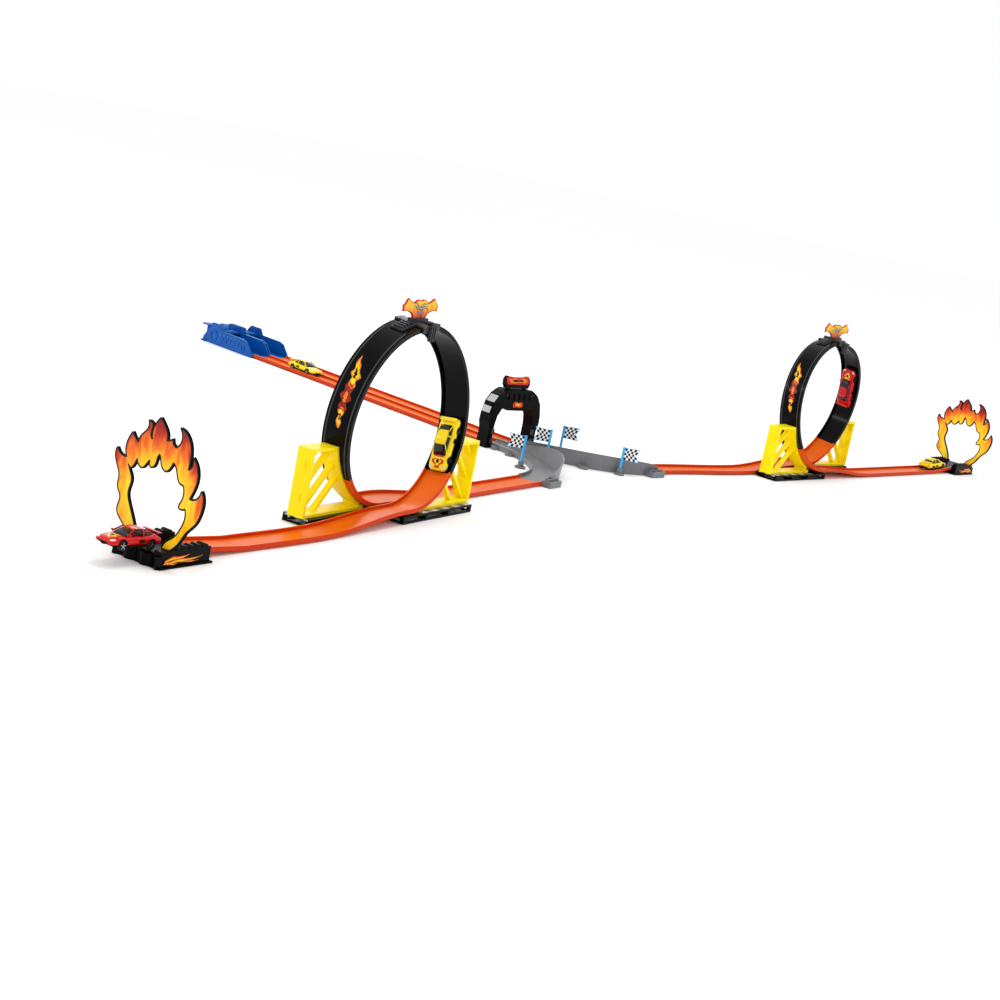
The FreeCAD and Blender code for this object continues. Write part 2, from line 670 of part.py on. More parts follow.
def launcher_wall(x0, x1, tower_from, tower_to):
    outline = wall_outline(0.0, tower_from, tower_to)
    return prism([V(x0, y + LAUNCH_LEN, z) for y, z in outline], V(x1 - x0, 0, 0))


def build_launcher():
    y0, y1 = LAUNCH_LEN, LAUNCH_LEN + LAUNCHER_L
    half = LAUNCHER_HALF_W
    floor_z = RUN_Z
    ram_half_w, ram_low, ram_high = 9.0, 8.5, 14.5
    solids = [
        block(-half, half, y0 + 0.3, y1 - 2, 1.6, floor_z),
        launcher_wall(-half, -half + WALL_T, 112.0, 134.0),
        launcher_wall(half - WALL_T, half, 98.0, 128.0),
        launcher_wall(-4.0, -1.4, 96.0, 136.0),
        launcher_wall(1.4, 4.0, 96.0, 136.0),
        block(-4, 4, y0 + 60, y0 + 140, floor_z, WALL_TOP + 1),
        block(-half - 3, half + 3, y1 - 12, y1, 0, 3),
    ]
    for side in (-1, 1):
        x = side * LANE_X
        # rear deck over the ram, with a window for the trigger, and the rear wall with the ram's slot
        deck = block(x - 18.2, x + 18.2, y0 + 98, y0 + 140, 27, 30.5)
        solids.append(deck.cut(block(x - 6.2, x + 6.2, y0 + 120.6, y0 + 135.4, 20, 40)))
        rear = block(x - 18.2, x + 18.2, y0 + 136, y0 + 140, floor_z, 30.5)
        slot_half = ram_half_w + 0.4
        solids.append(rear.cut(block(x - slot_half, x + slot_half, y0, y1, ram_low - 0.4, ram_high + 0.4)))
    near = -half
    for radius, y, z in ((11.0, 126.0, 17.0), (6.0, 30.0, 12.0)):
        disc = rod(V(near - 1.2, y0 + y, z), X_AXIS, radius, 1.4)
        solids.append(disc.cut(rod(V(near - 3, y0 + y, z), X_AXIS, radius - 2, 5)))
    for i in range(5):
        y = y0 + 44 + i * 13
        solids.append(block(near - 0.9, near + 0.2, y, y + 7, 10, 20))
    housing = fuse(solids)
    add("launcher_housing", housing)
    plates = [sorted((side * 5, side * (half - 4))) for side in (-1, 1)]
    add("launcher_base_plate", *[block(x0, x1, y0 + 3, y1 - 13, 0, 1.6) for x0, x1 in plates])

    springs = []
    for name, x in (("west", -LANE_X), ("east", LANE_X)):
        # ram: pusher head in the lane, flat bar through the rear wall, pull handle behind
        head = block(x - 11.5, x + 11.5, y0 + 84, y0 + 92, floor_z + 0.4, 20)
        bar = block(x - ram_half_w, x + ram_half_w, y0 + 92, y0 + 164, ram_low, ram_high)
        handle = block(x - 13, x + 13, y0 + 164, y0 + 168, 5.5, 32)
        grip = block(x - 13, x + 13, y0 + 166, y0 + 182, 29, 32)
        edge = rod(V(x - 13, y0 + 182, 30.5), X_AXIS, 2.0, 26)
        add("launcher_ram_" + name, fuse([head, bar, handle, grip, edge]))
        stem = block(x - 3, x + 3, y0 + 124, y0 + 132, 18.0, 26)
        cap = block(x - 5.8, x + 5.8, y0 + 121, y0 + 135, 26, 36)
        ridges = [rod(V(x - 5.8, y0 + y, 36), X_AXIS, 0.9, 11.6) for y in (124.5, 128.0, 131.5)]
        add("launcher_trigger_" + name, fuse([stem, cap] + ridges))
        springs.append(extension_spring(x + 14.6, y0 + 96, y0 + 136, 8.5))
    add("launcher_springs", *springs)


def extension_spring(x, y_start, y_end, z):
    """Spring beside a ram, as stacked rings on a thin core line."""
    turns = 14
    pitch = (y_end - y_start) / turns
    core = rod(V(x, y_start, z), Y_AXIS, 1.3, y_end - y_start)
    coils = [Part.makeTorus(1.7, 0.55, V(x, y_start + (i + 0.5) * pitch, z), Y_AXIS) for i in range(turns)]
    return fuse([core] + coils)


# ---------------------------------------------------------------- the whole set
build_launch_lanes()
build_launcher()
build_gate()
west_end, east_end = build_splitter()
build_flags()


def lane_start(end):
    point, heading = end
    start = point + heading_vector(heading) * 0.4
    return V(start.x, start.y, LANE_Z), heading


left_ring, right_ring = (LEFT_RING, LEFT_RING_HEADING), (RIGHT_RING, RIGHT_RING_HEADING)
left_halves = build_loop("left", LEFT_LOOP, LEFT_HEADING, -1, 1, lane_start(west_end), left_ring)
right_halves = build_loop("right", RIGHT_LOOP, RIGHT_HEADING, 1, -1, lane_start(east_end), right_ring)
build_ring("left", *left_ring, turned=-90)
build_ring("right", *right_ring, turned=90)


def car_on_ramp(ring, ahead):
    """Car on a ring's ramp, its middle this far ahead of the ring plane."""
    place, heading = ring
    point = place + heading_vector(heading) * ahead
    point.z = LIP_Z + (ahead - RING_FRONT) * RAMP_RISE + CAR_LIFT
    return car_on_floor(point, heading, math.degrees(math.atan(RAMP_RISE)))


LEFT_CAR_ANGLE, RIGHT_CAR_ANGLE = 68.0, 107.0
WAITING_CAR_Y = 505.0
FINISH_CAR_BACK = 47.0
JUMP_CAR_AHEAD = AXLE_X + RING_FRONT - 2.0
add_car("launch_car", car_on_floor(V(-LANE_X, WAITING_CAR_Y, RUN_Z + CAR_LIFT), -90))
add_car("left_loop_car", car_in_loop(left_halves[1], LEFT_CAR_ANGLE, LEFT_LOOP, LEFT_HEADING))
add_car("right_loop_car", car_in_loop(right_halves[0], RIGHT_CAR_ANGLE, RIGHT_LOOP, RIGHT_HEADING))
add_car("finish_car", car_on_ramp(right_ring, -RING_BACK - FINISH_CAR_BACK))
add_car("jump_car", car_on_ramp(left_ring, JUMP_CAR_AHEAD))

box = Part.makeCompound(list(nodes.values())).BoundBox
SHIFT = V(-(box.XMin + box.XMax) / 2, -(box.YMin + box.YMax) / 2, -box.ZMin)

os.makedirs("parts", exist_ok=True)
for node, shape in nodes.items():
    shape.translate(SHIFT)
    shape.exportStep("parts/" + node + ".step")
print(len(nodes), "nodes, box", round(box.XLength), round(box.YLength), round(box.ZLength))
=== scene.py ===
"""Looks of the toy car track set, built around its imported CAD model. Metres, +Z up."""
import json
import math
import bmesh
import bpy
from mathutils import Matrix, Vector


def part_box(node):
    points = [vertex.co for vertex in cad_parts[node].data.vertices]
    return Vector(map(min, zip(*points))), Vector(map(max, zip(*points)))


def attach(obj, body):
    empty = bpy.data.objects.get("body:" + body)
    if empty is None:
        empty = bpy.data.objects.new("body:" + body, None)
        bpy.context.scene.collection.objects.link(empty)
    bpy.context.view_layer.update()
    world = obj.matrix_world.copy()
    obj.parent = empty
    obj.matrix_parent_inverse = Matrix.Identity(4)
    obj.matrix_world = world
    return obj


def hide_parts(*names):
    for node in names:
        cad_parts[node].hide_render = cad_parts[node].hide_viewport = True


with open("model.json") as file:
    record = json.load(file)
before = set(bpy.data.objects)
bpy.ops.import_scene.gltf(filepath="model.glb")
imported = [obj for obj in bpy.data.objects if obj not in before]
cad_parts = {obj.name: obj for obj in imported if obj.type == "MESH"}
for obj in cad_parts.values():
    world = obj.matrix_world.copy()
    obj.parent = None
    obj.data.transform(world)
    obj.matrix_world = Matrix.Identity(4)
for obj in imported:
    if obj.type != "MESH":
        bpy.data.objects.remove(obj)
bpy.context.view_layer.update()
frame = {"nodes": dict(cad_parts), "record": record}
NODES = frame["nodes"]
JOINTS = {j["name"]: j for j in frame["record"]["behaviour"]["joints"]}
MM = 0.001
UP = Vector((0, 0, 1))
GRAIN_DEPTH = 0.0004    # height of the moulded grain
RIM_HIGHLIGHT_BAND = 0.0004       # height of the painted highlight band on the tops of the launch lanes' rims


# ---------------------------------------------------------------- materials
class Shader:
    """A material's node tree with short ways to add and join nodes."""

    def __init__(self, name):
        self.material = bpy.data.materials.new(name)
        self.material.use_nodes = True
        self.tree = self.material.node_tree
        self.shader = self.tree.nodes["Principled BSDF"]
        self.place = self.add("ShaderNodeTexCoord").outputs["Object"]

    def add(self, kind, inputs=None, **settings):
        node = self.tree.nodes.new(kind)
        for key, value in settings.items():
            setattr(node, key, value)
        for key, value in (inputs or {}).items():
            self.set(node.inputs[key], value)
        return node

    def set(self, socket, value):
        if isinstance(value, bpy.types.NodeSocket):
            self.tree.links.new(value, socket)
        else:
            socket.default_value = value

    def noise(self, scale, detail=3.0, vector=None, distortion=0.0):
        inputs = {"Vector": vector or self.place, "Scale": scale, "Detail": detail, "Distortion": distortion}
        return self.add("ShaderNodeTexNoise", inputs).outputs["Fac"]

    def ramp(self, factor, stops):
        node = self.add("ShaderNodeValToRGB", {"Fac": factor})
        ramp = node.color_ramp
        while len(ramp.elements) < len(stops):
            ramp.elements.new(0.5)
        for element, (position, colour) in zip(ramp.elements, stops):
            element.position = position
            element.color = (*colour, 1)
        return node.outputs["Color"]

    def math(self, operation, a, b=0.0, clamp=False):
        return self.add("ShaderNodeMath", {0: a, 1: b}, operation=operation, use_clamp=clamp).outputs[0]

    def mix(self, factor, a, b):
        node = self.add("ShaderNodeMix", data_type="RGBA")
        for socket, value in ((0, factor), (6, a), (7, b)):
            self.set(node.inputs[socket], value if not isinstance(value, tuple) else (*value, 1))
        return node.outputs[2]

    def finish(self, colour, rough=0.35, spread=0.12, coat=0.0, metal=0.0, bump=0.03, shine=0.4):
        """Base colour with slightly uneven gloss and a fine moulded grain."""
        low, high = max(rough - spread / 2, 0.02), rough + spread / 2
        gloss = self.add("ShaderNodeMapRange", {"Value": self.noise(55.0), "To Min": low, "To Max": high})
        grain_inputs = {"Height": self.noise(900.0, 2.0), "Strength": bump, "Distance": GRAIN_DEPTH}
        grain_node = self.add("ShaderNodeBump", grain_inputs)
        self.set(self.shader.inputs["Base Color"], colour)
        self.set(self.shader.inputs["Roughness"], gloss.outputs[0])
        self.set(self.shader.inputs["Normal"], grain_node.outputs[0])
        self.set(self.shader.inputs["Coat Weight"], coat)
        self.set(self.shader.inputs["Coat Roughness"], 0.08)
        self.set(self.shader.inputs["Metallic"], metal)
        self.set(self.shader.inputs["Specular IOR Level"], shine)
        return self.material


def shade(colour, factor):
    return tuple(min(c * factor, 1.0) for c in colour)


def plastic(name, colour, rough=0.35, vary=0.1, scale=35.0, **more):
    s = Shader(name)
    cloudy = s.noise(scale, 4.0)
    stops = [(0.3, shade(colour, 1 - vary)), (0.7, shade(colour, 1 + vary))]
    return s.finish(s.ramp(cloudy, stops), rough, **more)


def strip_orange(name, highlight_rim_top=None):
    """Orange track with painted shade: bright where faces point up or down, painted deeper red on the rims'
    steep sides as if in shade, and a painted highlight on the rim tops of a flat strip.
    """
    s = Shader(name)
    normal = s.add("ShaderNodeNewGeometry").outputs["True Normal"]
    z = s.add("ShaderNodeSeparateXYZ", {0: normal}).outputs["Z"]
    facing = s.math("ABSOLUTE", z)
    streak = s.add("ShaderNodeMapping", {"Vector": s.place, "Scale": (1.0, 1.0, 3.0)}).outputs[0]
    cloudy = s.noise(22.0, 4.0, streak)
    # top is the lit colour; side is the same orange painted darker as shade on the steep faces
    top = s.ramp(cloudy, [(0.3, (0.74, 0.112, 0.002)), (0.75, (0.79, 0.132, 0.003))])
    side = s.ramp(cloudy, [(0.3, (0.56, 0.036, 0.002)), (0.75, (0.62, 0.046, 0.003))])
    # painted shade: the share of the lit colour follows how far each face points up or down
    painted_shade_share = s.ramp(facing, [(0.35, (0, 0, 0)), (0.75, (1, 1, 1))])
    if highlight_rim_top:
        # painted highlight: a pale band along the rim tops, as if light catches them
        height = s.add("ShaderNodeSeparateXYZ", {0: s.place}).outputs["Z"]
        top = s.mix(s.math("GREATER_THAN", height, highlight_rim_top - RIM_HIGHLIGHT_BAND), top, (0.95, 0.34, 0.10))
    colour = s.mix(painted_shade_share, side, top)
    return s.finish(colour, 0.30, 0.08, bump=0.01, shine=0.07)


def flame_print(name, centre, inner, outer, flicker, sideways=1.0):
    """Printed flames: yellow near the centre, through orange to red at the tips."""
    s = Shader(name)
    away = s.add("ShaderNodeVectorMath", {0: s.place, 1: tuple(centre)}, operation="SUBTRACT").outputs[0]
    stretch = {0: away, 1: (sideways, sideways, 1.0)}
    away = s.add("ShaderNodeVectorMath", stretch, operation="MULTIPLY").outputs[0]
    length = s.add("ShaderNodeVectorMath", {0: away}, operation="LENGTH").outputs["Value"]
    tall = s.add("ShaderNodeMapping", {"Vector": s.place, "Scale": (1.0, 1.0, 0.35)}).outputs[0]
    waver = s.math("SUBTRACT", s.noise(75.0, 3.0, tall, 1.2), 0.5)
    length = s.math("ADD", length, s.math("MULTIPLY", waver, flicker * 4))
    share = s.math("DIVIDE", s.math("SUBTRACT", length, inner), outer - inner, clamp=True)
    stops = [
        (0.0, (0.95, 0.66, 0.006)), (0.3, (0.93, 0.46, 0.004)), (0.52, (0.86, 0.16, 0.003)),
        (0.78, (0.50, 0.020, 0.003)), (1.0, (0.24, 0.006, 0.003)),
    ]
    return s.finish(s.ramp(share, stops), 0.28, 0.08, shine=0.25)


def car_paint(name, colour):
    s = Shader(name)
    cloudy = s.noise(40.0, 3.0)
    paint = s.ramp(cloudy, [(0.3, shade(colour, 0.93)), (0.7, shade(colour, 1.06))])
    return s.finish(paint, 0.22, 0.06, coat=0.12, bump=0.004, shine=0.2)


ORANGE = strip_orange("track_orange")
# the launch lanes get a painted highlight along their rim tops
LANE_ORANGE = strip_orange("lane_orange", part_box("launch_lane_west")[1][2])
BLACK_GLOSS = plastic("loop_black", (0.0012, 0.0012, 0.0014), 0.15, 0.3, spread=0.05, bump=0.006, shine=0.09)
BLACK_SATIN = plastic("base_black", (0.0022, 0.0022, 0.0026), 0.30, 0.3, shine=0.06)
# also serves as the painted highlight on the loops' edge ridges
PANEL_GREY = plastic("panel_grey", (0.045, 0.045, 0.048), 0.28, 0.2, shine=0.25)
CLIP_GREY = plastic("clip_grey", (0.030, 0.032, 0.038), 0.34, 0.2, shine=0.2)
YELLOW = plastic("support_yellow", (0.95, 0.76, 0.002), 0.32, 0.03, shine=0.15)
BLUE = plastic("launcher_blue", (0.001, 0.080, 0.36), 0.3, 0.1, shine=0.15)
BLUE_DARK = plastic("launcher_dark_blue", (0.003, 0.045, 0.20), 0.35, 0.12, shine=0.3)
BLUE_LIGHT = plastic("launcher_edge_blue", (0.020, 0.18, 0.58), 0.3, 0.1, shine=0.2)
GREY = plastic("splitter_grey", (0.165, 0.165, 0.175), 0.34, 0.08, shine=0.25)
LIGHT_GREY = plastic("light_grey", (0.42, 0.42, 0.44), 0.3, 0.1)
SKY_BLUE = plastic("pole_blue", (0.035, 0.37, 0.74), 0.3, 0.08)
WHITE = plastic("print_white", (0.82, 0.82, 0.81), 0.35, 0.04)
INK = plastic("print_black", (0.003, 0.003, 0.003), 0.35, 0.2, shine=0.15)
RED_PRINT = plastic("print_red", (0.60, 0.020, 0.005), 0.3, 0.25, 90.0, shine=0.25)
DARK_RED_PRINT = plastic("print_dark_red", (0.30, 0.012, 0.004), 0.3, 0.25, 90.0, shine=0.25)
ORANGE_PRINT = plastic("print_orange", (0.92, 0.20, 0.004), 0.3, 0.2, 90.0, shine=0.25)
YELLOW_PRINT = plastic("print_yellow", (0.98, 0.62, 0.006), 0.3, 0.14, 90.0, shine=0.25)
STEEL = plastic("spring_steel", (0.5, 0.5, 0.52), 0.25, 0.06, metal=1.0)
TYRE = plastic("tyre_black", (0.006, 0.006, 0.007), 0.6, 0.25, shine=0.2)
ALLOY = plastic("alloy_grey", (0.30, 0.30, 0.32), 0.25, 0.1, metal=0.9)
GLASS_BLACK = plastic("window_black", (0.004, 0.004, 0.005), 0.08, 0.2, bump=0.003)
CAR_YELLOW = car_paint("car_yellow", (0.92, 0.68, 0.003))
CAR_RED = car_paint("car_red", (0.58, 0.003, 0.004))
LAMP = plastic("lamp_white", (0.7, 0.72, 0.75), 0.15, 0.05, coat=0.5)
LAMP_RED = plastic("lamp_red", (0.4, 0.006, 0.006), 0.15, 0.1, coat=0.5)


# ---------------------------------------------------------------- mesh helpers
def new_piece(name, vertices, faces, materials, body="track_layout", smooth=False, picks=None):
    """Mesh from vertices and faces, riding on a body; picks gives each face's material index."""
    mesh = bpy.data.meshes.new(name)
    mesh.from_pydata([tuple(v) for v in vertices], [], faces)
    for material in materials:
        mesh.materials.append(material)
    for i, face in enumerate(mesh.polygons):
        face.use_smooth = smooth
        face.material_index = picks[i] if picks else 0
    mesh.validate()
    mesh.update()
    piece = bpy.data.objects.new(name, mesh)
    bpy.context.collection.objects.link(piece)
    if body:
        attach(piece, body)
    return piece


def bevelled(piece, width):
    bevel = piece.modifiers.new("soft_edges", "BEVEL")
    bevel.width = width
    bevel.segments = 2
    bevel.limit_method = "ANGLE"
    bevel.angle_limit = math.radians(35)


class Build:
    """Collects boxes, bars and prisms into one mesh before it becomes a piece."""

    def __init__(self):
        self.vertices = []
        self.faces = []
        self.picks = []

    def prism(self, outline, shift, pick=0):
        """Closed prism from a loop of points moved by shift."""
        start, n = len(self.vertices), len(outline)
        self.vertices += [Vector(p) for p in outline] + [Vector(p) + Vector(shift) for p in outline]
        self.faces += [list(range(start + n - 1, start - 1, -1)), list(range(start + n, start + 2 * n))]
        for i in range(n):
            j = (i + 1) % n
            self.faces.append([start + i, start + j, start + n + j, start + n + i])
        self.picks += [pick] * (n + 2)

    def box(self, low, high, pick=0):
        (x0, y0, z0), (x1, y1, z1) = low, high
        base = [(x0, y0, z0), (x1, y0, z0), (x1, y1, z0), (x0, y1, z0)]
        self.prism(base, (0, 0, z1 - z0), pick)

    def disc(self, centre, axis, radius, length, sides=32, pick=0):
        axis = Vector(axis).normalized()
        u = axis.orthogonal().normalized()
        v = axis.cross(u)
        turn = [2 * math.pi * i / sides for i in range(sides)]
        ring = [Vector(centre) + (u * math.cos(a) + v * math.sin(a)) * radius for a in turn]
        self.prism(ring, axis * length, pick)

    def piece(self, name, materials, body="track_layout", place=None, slot=None):
        vertices = [place @ Vector(v) for v in self.vertices] if place else self.vertices
        made = new_piece(name, vertices, self.faces, materials, body, False, self.picks)
        shell = bmesh.new()
        shell.from_mesh(made.data)
        bmesh.ops.recalc_face_normals(shell, faces=shell.faces)
        shell.to_mesh(made.data)
        shell.free()
        return made


def axes(origin, x, y, z):
    """Placement with the three given axes at the given origin."""
    return Matrix((
        (x.x, y.x, z.x, origin.x), (x.y, y.y, z.y, origin.y),
        (x.z, y.z, z.z, origin.z), (0, 0, 0, 1),
    ))


def smooth_loop(points, steps):
    """A closed chain of points with extra points on a smooth curve between them."""
    points = [Vector(p) for p in points]
    n, dense = len(points), []
    for i in range(n):
        before, start, end, after = (points[(i + k) % n] for k in (-1, 0, 1, 2))
        for step in range(steps):
            t = step / steps
            bend = (end - before) * t + (before * 2 - start * 5 + end * 4 - after) * t**2
            dense.append(start + (bend + (start * 3 - before - end * 3 + after) * t**3) * 0.5)
    return dense


def edge_loops(shell):
    """Closed chains of points along the open edges of a mesh."""
    shell.edges.index_update()
    left, chains = {e.index: e for e in shell.edges if len(e.link_faces) == 1}, []
    while left:
        edge = left.pop(next(iter(left)))
        start, vertex = edge.verts
        chain = [start.co.copy()]
        while vertex != start:
            chain.append(vertex.co.copy())
            edge = next(e for e in vertex.link_edges if e.index in left)
            del left[edge.index]
            vertex = edge.other_vert(vertex)
        chains.append(chain)
    return chains


def flat_print(name, node, direction, lift, material, edge_width, edge_material):
    """Printed layer on one flat side of a CAD plate, with a thin raised line along its edges."""
    shell = bmesh.new()
    shell.from_mesh(NODES[node].data)
    direction = Vector(direction).normalized()
    drop = [f for f in shell.faces if f.normal.dot(direction) < 0.995]
    bmesh.ops.delete(shell, geom=drop, context="FACES")
    bmesh.ops.remove_doubles(shell, verts=shell.verts, dist=1e-6)
    build = Build()
    edge_sides, edge_height = 6, 0.0004
    shell.verts.index_update()
    build.vertices = [v.co + direction * lift for v in shell.verts]
    build.faces = [[v.index for v in f.verts] for f in shell.faces]
    build.picks = [0] * len(build.faces)
    for chain in edge_loops(shell):
        first, n = len(build.vertices), len(chain)
        for i, point in enumerate(chain):
            run = (chain[(i + 1) % n] - chain[i - 1]).normalized()
            across = run.cross(direction)
            for k in range(edge_sides):
                a = 2 * math.pi * k / edge_sides
                beside = point + across * (math.cos(a) * edge_width)
                build.vertices.append(beside + direction * (math.sin(a) * edge_height))
        for i in range(n):
            for k in range(edge_sides):
                a, b, c, d = i * edge_sides, (i + 1) % n * edge_sides, k, (k + 1) % edge_sides
                build.faces.append([first + a + c, first + a + d, first + b + d, first + b + c])
                build.picks.append(1)
    shell.free()
    materials = [material, edge_material]
    new_piece(name, build.vertices, build.faces, materials, picks=build.picks)


def islands(node):
    """The separate solids of a CAD node, each as a list of points."""
    shell = bmesh.new()
    shell.from_mesh(NODES[node].data)
    bmesh.ops.remove_doubles(shell, verts=shell.verts[:], dist=1e-6)
    shell.verts.index_update()
    left, groups = {v.index: v for v in shell.verts}, []
    while left:
        queue, group = [left.pop(next(iter(left)))], []
        while queue:
            vertex = queue.pop()
            group.append(vertex.co.copy())
            for edge in vertex.link_edges:
                other = edge.other_vert(vertex)
                if other.index in left:
                    queue.append(left.pop(other.index))
        groups.append(group)
    shell.free()
    return groups


def middle_of(points):
    low = Vector([min(p[i] for p in points) for i in range(3)])
    high = Vector([max(p[i] for p in points) for i in range(3)])
    return (low + high) / 2, low, high


def box_of(node):
    low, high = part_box(node)
    return Vector(low), Vector(high)


# ---------------------------------------------------------------- CAD node finishes
FINISH = {
    "launch_lane_west": LANE_ORANGE, "launch_lane_east": LANE_ORANGE, "lane_connectors": BLACK_SATIN,
    "launcher_housing": BLUE, "launcher_base_plate": BLUE_DARK, "launcher_ram_west": BLUE,
    "launcher_ram_east": BLUE, "launcher_trigger_west": BLUE_LIGHT, "launcher_trigger_east": BLUE_LIGHT,
    "launcher_springs": STEEL, "gate_left_leg": BLACK_SATIN, "gate_right_leg": BLACK_SATIN,
    "gate_beam": BLACK_SATIN, "gate_sign": BLACK_GLOSS,
    "splitter_plate": GREY, "west_curve": GREY, "east_curve": GREY,
    "flag_poles": SKY_BLUE, "flag_pennants": WHITE, "flag_sockets": GREY,
}
for side in ("left", "right"):
    for ending, material in (
        ("_loop_rising_half", BLACK_GLOSS), ("_loop_falling_half", BLACK_GLOSS), ("_loop_clip", CLIP_GREY),
        ("_loop_sign", RED_PRINT), ("_loop_supports", YELLOW), ("_loop_base", BLACK_SATIN),
        ("_entry_track", ORANGE), ("_exit_track", ORANGE), ("_flame_ring", INK), ("_ring_base", BLACK_SATIN),
    ):
        FINISH[side + ending] = material
for node, obj in NODES.items():
    material = FINISH.get(node, BLACK_SATIN)
    obj.data.materials.clear()
    obj.data.materials.append(material)


# ---------------------------------------------------------------- loops
LOOP_R = 0.125          # outer radius of the band
LANE_SHIFT = 0.024      # sideways distance between a loop's entry and exit lanes
SINK = 0.0003           # how far raised strips reach into the band


class Half:
    """One leaning half of a loop: way is +1 for the rising half, side is the lane's side."""

    def __init__(self, centre, along, left, way, side):
        lean = math.asin(LANE_SHIFT / (2 * LOOP_R))
        self.way = way
        self.centre = centre
        self.along = along
        self.up = UP * math.cos(lean) - left * side * math.sin(lean)
        self.axis = along.cross(self.up) * way

    def outward(self, angle):
        a = math.radians(angle)
        return self.along * (self.way * math.sin(a)) - self.up * math.cos(a)

    def point(self, angle, across, radius):
        return self.centre + self.axis * across + self.outward(angle) * radius


def loop_frame(side):
    """(centre between the two halves, along, left) of a loop, from its car's joint."""
    joint = JOINTS[side + "_loop_car_travel"]
    axis = Vector(joint["axis"])
    left = -Vector((axis.x, axis.y, 0)).normalized()
    along = left.cross(UP)
    centre = Vector(joint["pos_m"])
    return centre - left * LANE_SHIFT / 2, along, left


def band(build, half, start, stop, profile, steps):
    """A closed (across, radius) profile swept round the loop between two angles."""
    n, first = len(profile), len(build.vertices)
    for i in range(steps + 1):
        angle = start + (stop - start) * i / steps
        build.vertices += [half.point(angle, a, r) for a, r in profile]
    for i in range(steps):
        for j in range(n):
            k = first + i * n
            build.faces.append([k + j, k + (j + 1) % n, k + n + (j + 1) % n, k + n + j])
    last = first + steps * n
    build.faces += [list(range(first + n - 1, first - 1, -1)), list(range(last, last + n))]
    build.picks += [0] * (steps * n + 2)


def raised_strip(build, half, angles, across, height, taper, steps):
    """A low strip on the band's outside, narrower at its top by taper on each side."""
    (near, far), low, high = across, LOOP_R - SINK, LOOP_R + height
    profile = [(near, low), (far, low), (far - taper, high), (near + taper, high)]
    band(build, half, *angles, profile, steps)


def band_print(build, half, shape, radius, pick):
    """A flat printed shape of (angle, across) points laid on the band's outside."""
    first = len(build.vertices)
    build.vertices += [half.point(angle, across, radius) for angle, across in shape]
    build.faces.append(list(range(first, first + len(shape))))
    build.picks.append(pick)


def dress_loop(side, sticker_way):
    """Pale grey edge ridges on both halves as a painted highlight along the band's edges, and a raised panel
    with a flame sticker on one of them.
    """
    origin, along, left = loop_frame(side)
    entry = -1 if side == "left" else 1
    halves = [
        Half(origin + left * entry * LANE_SHIFT / 2, along, left, 1, entry),
        Half(origin - left * entry * LANE_SHIFT / 2, along, left, -1, -entry),
    ]
    black_stretch, panel_stretch = (51.5, 156.5), (80, 134)
    # pale grey ridges on the black band: painted highlight along both edges
    ridge_highlights = Build()
    for half in halves:
        for across in (-0.0165, 0.0165):
            raised_strip(ridge_highlights, half, black_stretch, (across - 0.001, across + 0.001), 0.0009, 0.0003, 60)
    ridge_highlights.piece(side + "_loop_edge_ridge_highlights", [PANEL_GREY], slot="loop_black")

    half = halves[0] if sticker_way > 0 else halves[1]
    panel = Build()
    raised_strip(panel, half, panel_stretch, (-0.0138, 0.0138), 0.0005, 0.0008, 30)
    panel.piece(side + "_loop_sticker_panel", [BLACK_SATIN], slot="loop_black")
    art = Build()
    narrowing = 0.85
    wing = [
        (129, 0.0085), (124, 0.0110), (120, 0.0075), (117, 0.0105), (114, 0.0040), (111, 0.0062),
        (108, -0.0010), (110, -0.0075), (113, -0.0038), (116, -0.0092), (119, -0.0025), (123, 0.0010),
        (125, 0.0060),
    ]
    tail = [
        (112, 0.0030), (109, 0.0088), (106, 0.0065), (103, 0.0112), (100, 0.0045), (97, 0.0080), (94, 0.0010),
        (96, -0.0082), (99, -0.0030), (102, -0.0095), (105, -0.0045), (108, -0.0062),
    ]
    dart = [
        (97, 0.0010), (94, 0.0062), (92, 0.0020), (88, 0.0045), (84, -0.0020), (88, -0.0050), (90, -0.0015),
        (94, -0.0058),
    ]
    for shape, colours in ((wing, (2, 3, 0)), (tail, (1, 1, 2)), (dart, (2, 3, 1))):
        middle = [sum(p[k] for p in shape) / len(shape) for k in (0, 1)]
        layers = zip((1.16, 1.0, 0.72, 0.36), (0.0007, 0.00082, 0.00094, 0.00106), (0, *colours))
        for factor, lift, pick in layers:
            grown = [[m + (value - m) * factor for m, value in zip(middle, point)] for point in shape]
            narrowed = [(angle, across * narrowing) for angle, across in grown]
            band_print(art, half, smooth_loop(narrowed, 3), LOOP_R + lift, pick)
    art.piece(side + "_loop_sticker", [INK, DARK_RED_PRINT, ORANGE_PRINT, YELLOW_PRINT], slot="flame_sign")
    return along, left


